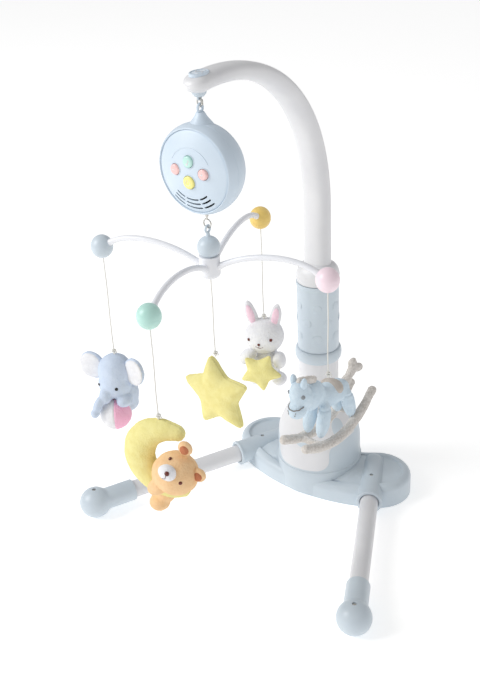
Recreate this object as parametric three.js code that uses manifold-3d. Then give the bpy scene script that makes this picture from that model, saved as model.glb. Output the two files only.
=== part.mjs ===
// Floor-standing crib mobile: a weighted base with two legs, a post, an arched arm, a hanging
// music box with a slowly turning hanger, and five soft toys on strings.
//
// Millimetres, +Z up. The origin is on the post's axis where the base meets the floor, the legs
// and the arm reach towards -Y, and +X is to the right for someone who faces the front.

import * as THREE from 'three';
import { mergeVertices } from 'three/addons/utils/BufferGeometryUtils.js';
import Module from 'manifold-3d';

const wasm = await Module();
wasm.setup();

// ---------------------------------------------------------------- driving dimensions

const GAP = 0.3; // clearance between pieces that touch
const deg = THREE.MathUtils.degToRad;

// base
const LOBE_OFFSET = 105; // sideways distance of each lobe's centre from the post axis
const LOBE_SETBACK = 13; // distance of the lobe centres behind the post axis
const LOBE_RADIUS = 54;
const FRONT_REACH = 65.6; // how far the front edge lies before the post axis
const WAIST_SETBACK = 34; // rear waist behind the post axis
const BASE_HEIGHT = 40;
const FRONT_DIP = 9; // the rim is this much lower across the front
const RIM_FILLET = 12;
const RECESS_DEPTH = 4;
const BASE_WALL = 3;
const PLATE_THICKNESS = 3;
const BRIDGE_WIDTH = 50; // of the plate's strip under the dome

// dome that carries the post
const DOME_RADIUS = 68;
const DOME_SKIRT = 2;
const DOME_STRAIGHT_TOP = 80;
const DOME_TOP = 160;
const DOME_WALL = 3.5;
const COVER_THICKNESS = 2.2;
const COVER_HALF_ANGLE = 42; // degrees each side of the middle of the cover's tongue
const COVER_TURN = 4; // degrees from straight ahead
const COVER_BOTTOM = 50;
const COVER_SHOULDER = 98; // above this the cover widens round the whole front of the dome
const COVER_TOP = 150;
const COVER_CORNER = 20;

// legs and feet
const LEG_DIAMETER = 28.4;
const LEG_WALL = 1.6;
const LEG_SPLAY = 25.5; // degrees between each leg and straight ahead
const LEG_REACH = 262; // from the foot's centre to the socket's mouth
const FOOT_FLAT = 0.8; // the ball's underside is cut off by this much
const FOOT_SLEEVE_WALL = 3.4;
const FOOT_SLEEVE_LENGTH = 66; // from the centre of the ball
const SOCKET_X = 129.7; // the middle of each socket's mouth
const SOCKET_Y = -58.1;
const SOCKET_WALL = 5.6;
const SOCKET_LIFT = 0.7; // clearance between the socket's lip and the base plate
const SOCKET_LENGTH = 104;
const SOCKET_DEPTH = 84;
const SOCKET_LIP = 1.1;
const SOCKET_LIP_LENGTH = 4;
const LEG_SCREW_SETBACK = 50;
const SCREW_LENGTH = 8;
const SCREW_SINK = 4; // the head's seat lies this far below the surface above it
const SCREW_HEAD_HEIGHT = 2.2;
const SCREW_HEAD_RADIUS = 3;
const SCREW_SHANK_RADIUS = 1.5;

// post
const POST_DIAMETER = 64;
const POST_WALL = 2.4;
const POST_SEAT_Z = 42;
const LOCK_RING_Z = 228;
const LOCK_RING_HEIGHT = 20;
const LOCK_RING_PROUD = 5;
const SLEEVE_PROUD = 0.8; // beyond the lower tube
const SLEEVE_WALL = 2.7;
const SLEEVE_TOP = 362;
const SLEEVE_LIP = 0.9;
const SLEEVE_LIP_HEIGHT = 6;
const NECK_DROP = 12; // the post's neck ends this far below the sleeve's top

// arm
const ARM_WALL = 2.5;
const ARM_WIDTH = 42; // along X at the foot of the arch
const ARM_DEPTH = 32; // in the plane of the arch, at its foot
const TIP_WIDTH = 35;
const TIP_DEPTH = 22;
const ARM_REACH = 262.5; // from the post axis to the mobile's axis
const ARM_RISE = 731; // height of the arm's middle line above the mobile's axis
const ARM_STRAIGHT = 88; // upright stretch above the shoulder
const SHOULDER_HEIGHT = 30;
const PLUG_LENGTH = 50;
const TIP_OVERHANG = 20;
const ARM_CROWN = 14; // how far the sweep is drawn up above its tip
const ARM_SIDES = 12;
const BADGE_LENGTH = 30;
const BADGE_WIDTH = 22;

// links between the arm, the music box and the hanger
const LUG_DROP = 17.5; // below the arm's middle line
const LUG_RADIUS = 3.6;
const LUG_WIRE = 1.2;
const LINK_WIRE = 1.0;
const LINK_HALF_WIDTH = 3.4;
const EYE_RADIUS = 4.8;
const EYE_WIRE = 1.8;
const HOOK_RADIUS = 6;
const HOOK_WIRE = 1.1;
const HUB_EYE_RADIUS = 4.6;
const HUB_EYE_WIRE = 1.6;

// music box
const BOX_RADIUS = 59;
const BOX_WALL = 2.5;
const NECK_HEIGHT = 16.6; // from the rim of the case up to the centre of its eye
const FACE_MARGIN = 6; // width of the rim round the face
const FACE_BULGE = 11;
const FACE_THICKNESS = 2.4;
const RIM_Y = -20; // the plane of the face's rim, from the music box's centre
const SPLIT_Y = -6;
const BOX_BACK = 39;
const BUTTON_TRAVEL = 1.5;
const BUTTON_PROUD = 3;
const BUTTON_CLEARANCE = 0.35;
const SLOT_WIDTH = 2.2;
const SLOT_RADII = [35, 41, 47];
const BATTERY_DIAMETER = 14.5;
const BATTERY_LENGTH = 50.5;
const CELL_Z = 26; // height of the two cells' middle above the music box's centre
const CELL_GAP = 1.5;
const CELL_Y = 10;
const DOOR_CUT_Y = 10;
const WHEEL_TEETH = 24;
const PINION_TEETH = 10;
const GEAR_MODULE = 0.9;
const GEAR_WIDTH = 4;

// hanger
const HANGER_RADIUS = 165;
const HANGER_TURN = 11.36; // degrees from +X to the first arm
const BALL_RADIUS = 15.6;
const BALL_STRETCH = 1.06;
const HANGER_ARM_DIAMETER = 8.2;
const HUB_RADIUS = 14;
const HUB_HEIGHT = 34;
const HUB_CAP_RADIUS = 15.4;
const HUB_CAP_LIFT = 11; // centre of the cap's ball above the hub
const HOOK_DROP = 17; // centre of the drive hook below the rim of the case
const HANGER_DROP = 33; // centre of the cap's ball below the hook
const BALL_DROP = 11; // centre of the balls below the top of the hub

// strings and toys
const STRING_DIAMETER = 1.8;
const STRING_LENGTH = { elephant: 151.9, bear: 127.9, rabbit: 145.9, horse: 123.9, star: 117.4 };

// ---------------------------------------------------------------- sizes that follow

const LEG_RADIUS = LEG_DIAMETER / 2;
const FOOT_SLEEVE_RADIUS = LEG_RADIUS + FOOT_SLEEVE_WALL;
const SOCKET_RADIUS = LEG_RADIUS + SOCKET_WALL;
const LEG_AXIS_HEIGHT = PLATE_THICKNESS + SOCKET_LIFT + SOCKET_LIP + SOCKET_RADIUS;
const FOOT_RADIUS = LEG_AXIS_HEIGHT + FOOT_FLAT;
const SCREW_SEAT = LEG_AXIS_HEIGHT + SOCKET_RADIUS - SCREW_SINK;

const POST_RADIUS = POST_DIAMETER / 2;
const LOCK_RING_RADIUS = POST_RADIUS + LOCK_RING_PROUD;
const SLEEVE_RADIUS = POST_RADIUS + SLEEVE_PROUD;
const NECK_RADIUS = SLEEVE_RADIUS - SLEEVE_WALL - GAP;
const NECK_TOP = SLEEVE_TOP - NECK_DROP;
const PLUG_CLEARANCE = 0.8; // the arm's plug is a loose push fit in the post
const PLUG_RADIUS = NECK_RADIUS - POST_WALL - PLUG_CLEARANCE;
const PLUG_BOTTOM = NECK_TOP - PLUG_LENGTH;
const STEP_RADIUS = NECK_RADIUS - PLUG_CLEARANCE;
const SHOULDER_RADIUS = SLEEVE_RADIUS - 0.4;
const SHOULDER_TOP = SLEEVE_TOP + SHOULDER_HEIGHT;
const ARM_STRAIGHT_TOP = SHOULDER_TOP + ARM_STRAIGHT;

const LUG_Z = ARM_RISE - LUG_DROP;
const LINK_TOP = LUG_Z - LUG_RADIUS + LUG_WIRE + LINK_WIRE + GAP;
const LINK_LENGTH = 11.4;
const LINK_BOTTOM = LINK_TOP - LINK_LENGTH;
const EYE_Z = LINK_BOTTOM - EYE_RADIUS + EYE_WIRE + LINK_WIRE + 2 * GAP;
const EYE_LOCAL_Z = BOX_RADIUS + NECK_HEIGHT;
const BOX_Z = EYE_Z - EYE_LOCAL_Z; // height of the case's centre
const FACE_RADIUS = BOX_RADIUS - FACE_MARGIN;
const CELL_SPACING = BATTERY_DIAMETER + CELL_GAP;

const HOOK_Z = BOX_Z - BOX_RADIUS - HOOK_DROP;
const HOOK_TOP_LOCAL = HOOK_Z + HOOK_RADIUS - BOX_Z + 4;
const HUB_EYE_Z = HOOK_Z - HOOK_RADIUS + HOOK_WIRE + GAP + HUB_EYE_WIRE - HUB_EYE_RADIUS;
const HUB_CAP_Z = HOOK_Z - HANGER_DROP;
const HUB_SPLIT = HUB_CAP_Z - HUB_CAP_LIFT;
const HUB_BOTTOM = HUB_SPLIT - HUB_HEIGHT;
const BALL_Z = HUB_SPLIT - BALL_DROP;
const BALL_BOTTOM = BALL_Z - BALL_RADIUS * BALL_STRETCH;
const toyTop = (name) =>
  (name === 'star' ? HUB_BOTTOM : BALL_BOTTOM) - 2 * GAP - STRING_LENGTH[name];

// ---------------------------------------------------------------- materials

const plastic = (color, roughness = 0.4) =>
  new THREE.MeshStandardMaterial({ color, roughness, metalness: 0 });
const metal = (color) => new THREE.MeshStandardMaterial({ color, roughness: 0.25, metalness: 1 });
const BLUE = plastic(0xbfd0dc);
const WHITE = plastic(0xe3e1e3);
const MINT = plastic(0xa5e0cc);
const PINK = plastic(0xf7d9e2);
const YELLOW = plastic(0xf0cb63);
const BOARD = plastic(0x2f6b45, 0.6);
const BLACK = plastic(0x2b2d31, 0.6);
const STEEL = metal(0xc9c9c6);
const CELL = metal(0x8f9499);
const STRING = plastic(0xf4f2ee, 0.9);
const BLUE_PLUSH = plastic(0xc4d5ec, 0.95);
const TAN_PLUSH = plastic(0xf2bd85, 0.95);
const WHITE_PLUSH = plastic(0xf3f2f4, 0.95);
const YELLOW_PLUSH = plastic(0xf1e58a, 0.95);
const PINK_PLUSH = plastic(0xf6c4d4, 0.95);
const SHERPA = plastic(0xd8cfc2, 0.95);

// ---------------------------------------------------------------- geometry helpers

// Merges shared corners, drops triangles with no area and turns the faces outwards.
function tidy(geometry) {
  const bare = geometry.index ? geometry.toNonIndexed() : geometry.clone();
  for (const name of Object.keys(bare.attributes)) {
    if (name !== 'position') bare.deleteAttribute(name);
  }
  const merged = mergeVertices(bare, 1e-4);
  const index = merged.index.array;
  const kept = [];
  for (let i = 0; i < index.length; i += 3) {
    const [a, b, c] = [index[i], index[i + 1], index[i + 2]];
    if (a !== b && b !== c && c !== a) kept.push(a, b, c);
  }
  const result = new THREE.BufferGeometry();
  result.setAttribute('position', merged.attributes.position);
  if (signedVolume(merged.attributes.position, kept) < 0) kept.reverse();
  result.setIndex(kept);
  return result;
}

function signedVolume(position, index) {
  const a = new THREE.Vector3();
  const b = new THREE.Vector3();
  const c = new THREE.Vector3();
  let sum = 0;
  for (let i = 0; i < index.length; i += 3) {
    a.fromBufferAttribute(position, index[i]);
    b.fromBufferAttribute(position, index[i + 1]);
    c.fromBufferAttribute(position, index[i + 2]);
    sum += a.dot(b.cross(c));
  }
  return sum / 6;
}

function solid(geometry) {
  const clean = tidy(geometry);
  const mesh = new wasm.Mesh({
    numProp: 3,
    vertProperties: Float32Array.from(clean.attributes.position.array),
    triVerts: Uint32Array.from(clean.index.array),
  });
  return new wasm.Manifold(mesh);
}

function geometryOf(manifold) {
  const mesh = manifold.getMesh();
  const geometry = new THREE.BufferGeometry();
  geometry.setAttribute('position', new THREE.Float32BufferAttribute(mesh.vertProperties, 3));
  geometry.setIndex(Array.from(mesh.triVerts));
  return geometry;
}

const union = (parts) => parts.reduce((sum, part) => sum.add(part));
const cut = (body, tools) => tools.reduce((rest, tool) => rest.subtract(tool), body);

// A closed outline of [radius, height] corners turned about Z.
function turned(corners, segments = 20) {
  const points = corners.map(([r, z]) => new THREE.Vector2(r, z));
  const first = points[0];
  const last = points[points.length - 1];
  const closesItself = first.x > 0 || last.x > 0;
  if (closesItself) points.push(first.clone());
  return new THREE.LatheGeometry(points, segments).rotateX(Math.PI / 2);
}

// The same, turned about Y, with each corner as [radius, y].
const turnedAboutY = (corners, segments = 20) =>
  new THREE.LatheGeometry(
    corners.map(([r, y]) => new THREE.Vector2(r, y)),
    segments,
  );

function rod(from, to, radius, segments = 16, endRadius = radius) {
  const along = to.clone().sub(from);
  const geometry = new THREE.CylinderGeometry(endRadius, radius, along.length(), segments);
  const turn = new THREE.Quaternion().setFromUnitVectors(
    new THREE.Vector3(0, 1, 0),
    along.clone().normalize(),
  );
  const middle = from.clone().add(to).multiplyScalar(0.5);
  return geometry.applyQuaternion(turn).translate(middle.x, middle.y, middle.z);
}

const v = (x, y, z) => new THREE.Vector3(x, y, z);

// An egg shape: half-lengths along X, Y and Z, its centre, and a turn about X, Y or Z in degrees.
function egg([a, b, c], [x, y, z], turn = [0, 0, 0], [across, up] = [8, 6]) {
  const geometry = new THREE.SphereGeometry(1, across, up).rotateX(Math.PI / 2).scale(a, b, c);
  const euler = new THREE.Euler(deg(turn[0]), deg(turn[1]), deg(turn[2]));
  return geometry.applyQuaternion(new THREE.Quaternion().setFromEuler(euler)).translate(x, y, z);
}

function tube(curve, radius, steps, sides) {
  const section = new THREE.Shape();
  for (let i = 0; i < sides; i += 1) {
    const angle = (i / sides) * 2 * Math.PI;
    const [x, y] = [radius * Math.cos(angle), radius * Math.sin(angle)];
    if (i === 0) section.moveTo(x, y);
    else section.lineTo(x, y);
  }
  section.closePath();
  return new THREE.ExtrudeGeometry(section, { steps, bevelEnabled: false, extrudePath: curve });
}

// Joins rings of equal length into a skin and closes both ends.
function loft(rings, triangulateEnd) {
  const count = rings[0].length;
  const corners = rings.flat().flatMap((p) => [p.x, p.y, p.z]);
  const faces = [];
  for (let r = 0; r < rings.length - 1; r += 1) {
    for (let i = 0; i < count; i += 1) {
      const a = r * count + i;
      const b = r * count + ((i + 1) % count);
      faces.push(a, b, b + count, a, b + count, a + count);
    }
  }
  const last = (rings.length - 1) * count;
  for (const [a, b, c] of triangulateEnd(rings[0])) faces.push(b, a, c);
  for (const [a, b, c] of triangulateEnd(rings[rings.length - 1])) {
    faces.push(last + a, last + b, last + c);
  }
  const geometry = new THREE.BufferGeometry();
  geometry.setAttribute('position', new THREE.Float32BufferAttribute(corners, 3));
  geometry.setIndex(faces);
  return geometry;
}

const flatEnd = (ring) =>
  THREE.ShapeUtils.triangulateShape(
    ring.map((p) => new THREE.Vector2(p.x, p.y)),
    [],
  );
const fanEnd = (ring) => ring.slice(2).map((_, i) => [0, i + 1, i + 2]);

// ---------------------------------------------------------------- assembly

const mobile = new THREE.Group();

function add(name, shape, material, parent = mobile) {
  const geometry = shape instanceof THREE.BufferGeometry ? tidy(shape) : geometryOf(shape);
  geometry.computeVertexNormals();
  const mesh = new THREE.Mesh(geometry, material);
  mesh.name = name;
  parent.add(mesh);
  return mesh;
}

// ---------------------------------------------------------------- base

// The base's outline, moved inwards by inset: two lobes, a long front arc and a rear waist.
function baseOutline(inset) {
  const front = arcThrough(LOBE_RADIUS, -FRONT_REACH, -1);
  const waist = arcThrough(LOBE_RADIUS, WAIST_SETBACK, 1);
  const lobe = v(LOBE_OFFSET, LOBE_SETBACK, 0);
  const frontAngle = Math.atan2(lobe.y - front.y, lobe.x);
  const waistAngle = Math.atan2(lobe.y - waist.y, lobe.x);
  const points = [];
  const arc = (x, y, radius, start, end, steps) => {
    for (let i = 0; i < steps; i += 1) {
      const angle = start + ((end - start) * i) / steps;
      points.push(new THREE.Vector2(x + radius * Math.cos(angle), y + radius * Math.sin(angle)));
    }
  };
  arc(lobe.x, lobe.y, LOBE_RADIUS - inset, frontAngle, waistAngle + Math.PI, 8);
  arc(0, waist.y, waist.radius + inset, waistAngle, -Math.PI - waistAngle, 2);
  arc(-lobe.x, lobe.y, LOBE_RADIUS - inset, -waistAngle, Math.PI - frontAngle, 8);
  arc(0, front.y, front.radius - inset, -Math.PI - frontAngle, frontAngle, 6);
  return points;
}

// The arc through (0, edge) that meets both lobes smoothly; side is -1 in front and 1 behind.
function arcThrough(lobeRadius, edge, side) {
  const sag = edge - LOBE_SETBACK;
  const chord = LOBE_OFFSET ** 2 + sag ** 2 - lobeRadius ** 2;
  const radius = side < 0
    ? chord / (2 * (-sag - lobeRadius))
    : chord / (2 * (lobeRadius - sag));
  return { y: edge + radius, radius: Math.abs(radius) };
}

const crest = (y) => BASE_HEIGHT - FRONT_DIP * THREE.MathUtils.smoothstep(-y, 15, 52);

function baseRing(inset, drop) {
  return baseOutline(inset).map((p) => v(p.x, p.y, crest(p.y) - drop));
}

const flatRing = (inset, z) => baseOutline(inset).map((p) => v(p.x, p.y, z));

function baseBody() {
  const rings = [flatRing(0, 0)];
  for (let i = 0; i <= 3; i += 1) {
    const angle = (i / 3) * (Math.PI / 2);
    rings.push(baseRing(RIM_FILLET * (1 - Math.cos(angle)), RIM_FILLET * (1 - Math.sin(angle))));
  }
  rings.push(baseRing(RIM_FILLET + 5, RECESS_DEPTH));
  return solid(loft(rings, flatEnd));
}

function baseHollow() {
  const top = RECESS_DEPTH + BASE_WALL + 1;
  const rings = [
    flatRing(BASE_WALL, -1),
    baseRing(BASE_WALL, RIM_FILLET + 3),
    baseRing(RIM_FILLET + 4, top),
  ];
  return solid(loft(rings, flatEnd));
}

const domeRadiusAt = (z) => {
  const neck = POST_DIAMETER / 2 + 1;
  const t = THREE.MathUtils.clamp((z - DOME_STRAIGHT_TOP) / (DOME_TOP - DOME_STRAIGHT_TOP), 0, 1);
  return neck + (DOME_RADIUS - neck) * (1 - t ** 1.7);
};

function domeOutline(offset, bottom) {
  const corners = [[DOME_RADIUS + offset, bottom]];
  for (let i = 0; i <= 5; i += 1) {
    const z = DOME_STRAIGHT_TOP + ((DOME_TOP - DOME_STRAIGHT_TOP) * i) / 5;
    corners.push([domeRadiusAt(z) + offset, z + offset]);
  }
  return corners;
}

function domeBody() {
  const skirt = DOME_RADIUS + DOME_SKIRT;
  const skirtTop = BASE_HEIGHT + 6;
  const outer = [[0, 2], [skirt, 2], [skirt, skirtTop], ...domeOutline(0, skirtTop + 2)];
  return solid(turned([...outer, [0, DOME_TOP]], 20));
}

const SEAT_WALL = 3;

function domeHollow() {
  const inner = domeOutline(-DOME_WALL, -1).filter(([r]) => r > POST_RADIUS + SEAT_WALL + 2);
  const seat = POST_RADIUS + GAP + SEAT_WALL;
  const annulus = [[0, -1], ...inner, [seat, inner[inner.length - 1][1]], [seat, 36], [0, 36]];
  return solid(turned(annulus, 20));
}

const postBore = () =>
  solid(turned([
    [0, -2], [POST_RADIUS - 4, -2], [POST_RADIUS - 4, POST_SEAT_Z - GAP],
    [POST_RADIUS + GAP, POST_SEAT_Z - GAP], [POST_RADIUS + GAP, DOME_TOP + 2], [0, DOME_TOP + 2],
  ], 20));

// The white cover: a curved shield let into the front of the dome, proud of it by a little.
function coverSolid(grow) {
  const inner = [...domeOutline(-COVER_THICKNESS / 2 - grow, 10)];
  const outer = [...domeOutline(COVER_THICKNESS / 2 + grow, 10)].reverse();
  const shell = solid(turned([...inner, ...outer], 20));
  const shield = new THREE.Shape();
  const half = DOME_RADIUS * Math.sin(deg(COVER_HALF_ANGLE)) + grow;
  const full = DOME_RADIUS + COVER_THICKNESS + grow;
  const low = COVER_BOTTOM - grow;
  const waist = COVER_SHOULDER - grow;
  const high = COVER_TOP + grow;
  const flare = waist + (full - half) / 3;
  shield.moveTo(-half + COVER_CORNER, low);
  shield.lineTo(half - COVER_CORNER, low);
  shield.quadraticCurveTo(half, low, half, low + COVER_CORNER);
  shield.lineTo(half, waist - COVER_CORNER / 2);
  shield.quadraticCurveTo(half, waist, full, flare);
  shield.lineTo(full, high);
  shield.lineTo(-full, high);
  shield.lineTo(-full, flare);
  shield.quadraticCurveTo(-half, waist, -half, waist - COVER_CORNER / 2);
  shield.lineTo(-half, low + COVER_CORNER);
  shield.quadraticCurveTo(-half, low, -half + COVER_CORNER, low);
  const block = new THREE.ExtrudeGeometry(shield, {
    depth: DOME_RADIUS * 2,
    bevelEnabled: false,
    curveSegments: 3,
  });
  block.rotateX(Math.PI / 2).translate(0, grow, 0).rotateZ(deg(COVER_TURN));
  return shell.intersect(solid(block));
}

const legDirection = (side) => v(-side * Math.sin(deg(LEG_SPLAY)), Math.cos(deg(LEG_SPLAY)), 0);
const footCentre = (side) =>
  v(side * SOCKET_X, SOCKET_Y, LEG_AXIS_HEIGHT).addScaledVector(legDirection(side), -LEG_REACH);
const onLeg = (side, distance) =>
  footCentre(side).add(legDirection(side).multiplyScalar(distance));

function legSocket(side) {
  const mouth = onLeg(side, LEG_REACH);
  const end = onLeg(side, LEG_REACH + SOCKET_LENGTH);
  const lipEnd = onLeg(side, LEG_REACH + SOCKET_LIP_LENGTH);
  const round = egg([SOCKET_RADIUS, SOCKET_RADIUS, SOCKET_RADIUS], end.toArray(), [0, 0, 0],
    [16, 6]);
  return union([
    solid(rod(mouth, end, SOCKET_RADIUS, 16)),
    solid(round),
    solid(rod(mouth, lipEnd, SOCKET_RADIUS + SOCKET_LIP, 16)),
  ]);
}

function legBore(side) {
  const before = onLeg(side, LEG_REACH - 1);
  const end = onLeg(side, LEG_REACH + SOCKET_DEPTH);
  const mouth = onLeg(side, LEG_REACH + 3);
  return union([
    solid(rod(before, end, LEG_RADIUS + GAP, 16)),
    solid(rod(before, mouth, LEG_RADIUS + 2, 16)),
  ]);
}

const legScrewPlace = (side) => onLeg(side, LEG_REACH + LEG_SCREW_SETBACK);

function screw(place, seat, length, grow = 0) {
  const head = SCREW_HEAD_RADIUS + grow;
  const shank = SCREW_SHANK_RADIUS + grow;
  const top = seat + SCREW_HEAD_HEIGHT + (grow > 0 ? SCREW_SINK + 6 : 0);
  const corners = [[0, seat - length - grow], [shank, seat - length - grow], [shank, seat - grow],
    [head, seat - grow], [head, top], [0, top]];
  return turned(corners, 8).translate(place.x, place.y, 0);
}

function buildBase() {
  const legs = [-1, 1];
  const ground = solid(new THREE.BoxGeometry(800, 800, 40).translate(0, 0, -20));
  const postSeat = solid(turned([
    [POST_RADIUS - 4, 36], [POST_RADIUS + GAP + SEAT_WALL, 36],
    [POST_RADIUS + GAP + SEAT_WALL, DOME_TOP - 10], [POST_RADIUS - 4, DOME_TOP - 10],
  ], 20)).intersect(domeBody());
  let shell = cut(union([baseBody(), domeBody()]), [baseHollow(), domeHollow()]);
  shell = union([shell, ...legs.map(legSocket), postSeat]);
  shell = cut(shell, [
    postBore(), coverSolid(GAP), ground, ...legs.map(legBore),
    ...legs.map((side) => solid(screw(legScrewPlace(side), SCREW_SEAT, SCREW_LENGTH, GAP))),
  ]);
  const plateRim = flatRing(BASE_WALL + GAP, 0);
  const plateTop = flatRing(BASE_WALL + GAP, PLATE_THICKNESS);
  const plate = solid(loft([plateRim, plateTop], flatEnd));
  const dome = solid(turned([[0, -1], [DOME_RADIUS + DOME_SKIRT + GAP, -1],
    [DOME_RADIUS + DOME_SKIRT + GAP, BASE_HEIGHT], [0, BASE_HEIGHT]], 20));
  const core = solid(turned([[0, 0], [DOME_RADIUS - DOME_WALL - 1, 0],
    [DOME_RADIUS - DOME_WALL - 1, PLATE_THICKNESS], [0, PLATE_THICKNESS]], 20));
  const bridge = solid(new THREE.BoxGeometry(2 * DOME_RADIUS + 30, BRIDGE_WIDTH, PLATE_THICKNESS)
    .translate(0, 0, PLATE_THICKNESS / 2));
  const slotSize = [2 * DOME_RADIUS + 40, BRIDGE_WIDTH + 2 * GAP, PLATE_THICKNESS + 1];
  const slot = solid(new THREE.BoxGeometry(...slotSize).translate(0, 0, PLATE_THICKNESS / 2));
  shell = shell.subtract(slot.intersect(solid(loft([flatRing(BASE_WALL, -1),
    flatRing(BASE_WALL, PLATE_THICKNESS + GAP)], flatEnd))));
  const bottom = cut(plate, [dome]).add(core).add(bridge);
  add('base_shell', shell, BLUE);
  add('base_plate', bottom, BLUE);
  add('dome_cover', coverSolid(0), WHITE);
  for (const [side, word] of [[-1, 'left'], [1, 'right']]) buildLeg(side, word);
}

function buildLeg(side, word) {
  const outer = solid(rod(onLeg(side, 12), onLeg(side, LEG_REACH + SOCKET_DEPTH - 2),
    LEG_RADIUS, 16));
  const inner = solid(rod(onLeg(side, 10), onLeg(side, LEG_REACH + SOCKET_DEPTH),
    LEG_RADIUS - LEG_WALL, 16));
  const hole = solid(screw(legScrewPlace(side), SCREW_SEAT, SCREW_LENGTH, GAP));
  add(`leg_tube_${word}`, cut(outer, [inner, hole]), WHITE);

  const centre = footCentre(side);
  const ball = solid(egg([FOOT_RADIUS, FOOT_RADIUS, FOOT_RADIUS], centre.toArray(), [0, 0, 0],
    [16, 9]));
  const sleeve = solid(rod(centre, onLeg(side, FOOT_SLEEVE_LENGTH), FOOT_SLEEVE_RADIUS, 16));
  const bore = solid(rod(onLeg(side, 11), onLeg(side, FOOT_SLEEVE_LENGTH + 1),
    LEG_RADIUS + GAP, 16));
  const under = solid(new THREE.BoxGeometry(120, 120, 20).translate(centre.x, centre.y, -10));
  const seat = LEG_AXIS_HEIGHT + FOOT_RADIUS - SCREW_SINK;
  const screwHole = solid(screw(centre, seat, SCREW_LENGTH, GAP));
  add(`foot_${word}`, cut(ball.add(sleeve), [bore, under, screwHole]), BLUE);
  add(`foot_screw_${word}`, screw(centre, seat, SCREW_LENGTH), STEEL);
  add(`leg_screw_${word}`, screw(legScrewPlace(side), SCREW_SEAT, SCREW_LENGTH), STEEL);
}

// ---------------------------------------------------------------- post

function buildPost() {
  const shoulder = LOCK_RING_Z + 3;
  add('post_tube', turned([
    [POST_RADIUS - POST_WALL, POST_SEAT_Z], [POST_RADIUS, POST_SEAT_Z], [POST_RADIUS, shoulder],
    [NECK_RADIUS, shoulder], [NECK_RADIUS, NECK_TOP], [NECK_RADIUS - POST_WALL, NECK_TOP],
    [NECK_RADIUS - POST_WALL, shoulder - 3], [POST_RADIUS - POST_WALL, shoulder - 3],
  ], 20), WHITE);

  const bottom = LOCK_RING_Z;
  const top = bottom + LOCK_RING_HEIGHT;
  const bulge = [];
  for (let i = 0; i <= 4; i += 1) {
    const angle = -Math.PI / 2 + (i / 4) * Math.PI;
    const middle = bottom + LOCK_RING_HEIGHT / 2;
    bulge.push([LOCK_RING_RADIUS - 3 + 3 * Math.cos(angle),
      middle + (LOCK_RING_HEIGHT / 2) * Math.sin(angle)]);
  }
  add('lock_ring', turned([
    [POST_RADIUS + GAP, bottom], ...bulge, [NECK_RADIUS + GAP, top],
    [NECK_RADIUS + GAP, shoulder + GAP], [POST_RADIUS + GAP, shoulder + GAP],
  ], 20), BLUE);

  const inside = NECK_RADIUS + GAP;
  add('post_sleeve', turned([
    [inside, top + GAP], [SLEEVE_RADIUS, top + GAP],
    [SLEEVE_RADIUS, SLEEVE_TOP - SLEEVE_LIP_HEIGHT],
    [SLEEVE_RADIUS + SLEEVE_LIP, SLEEVE_TOP - 0.75 * SLEEVE_LIP_HEIGHT],
    [SLEEVE_RADIUS + SLEEVE_LIP, SLEEVE_TOP], [inside, SLEEVE_TOP],
  ], 20), BLUE);
}

// ---------------------------------------------------------------- arm

// The arm's middle line: straight up from the shoulder, then one sweep over to the tip.
const armPath = () => {
  const path = new THREE.CurvePath();
  path.add(new THREE.LineCurve3(v(0, 0, SHOULDER_TOP), v(0, 0, ARM_STRAIGHT_TOP)));
  path.add(new THREE.CubicBezierCurve3(
    v(0, 0, ARM_STRAIGHT_TOP),
    v(0, 0, THREE.MathUtils.lerp(ARM_STRAIGHT_TOP, ARM_RISE, 0.65)),
    v(0, -0.42 * ARM_REACH, ARM_RISE + ARM_CROWN),
    v(0, -ARM_REACH, ARM_RISE),
  ));
  path.add(new THREE.LineCurve3(
    v(0, -ARM_REACH, ARM_RISE), v(0, -ARM_REACH - TIP_OVERHANG, ARM_RISE - TIP_OVERHANG * 0.09),
  ));
  return path;
};

function ovalRing(centre, along, halfWidth, halfDepth) {
  const across = v(1, 0, 0);
  const out = new THREE.Vector3().crossVectors(along, across).normalize();
  const ring = [];
  for (let i = 0; i < ARM_SIDES; i += 1) {
    const angle = (i / ARM_SIDES) * 2 * Math.PI;
    ring.push(centre.clone()
      .addScaledVector(across, halfWidth * Math.cos(angle))
      .addScaledVector(out, halfDepth * Math.sin(angle)));
  }
  return ring;
}

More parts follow.
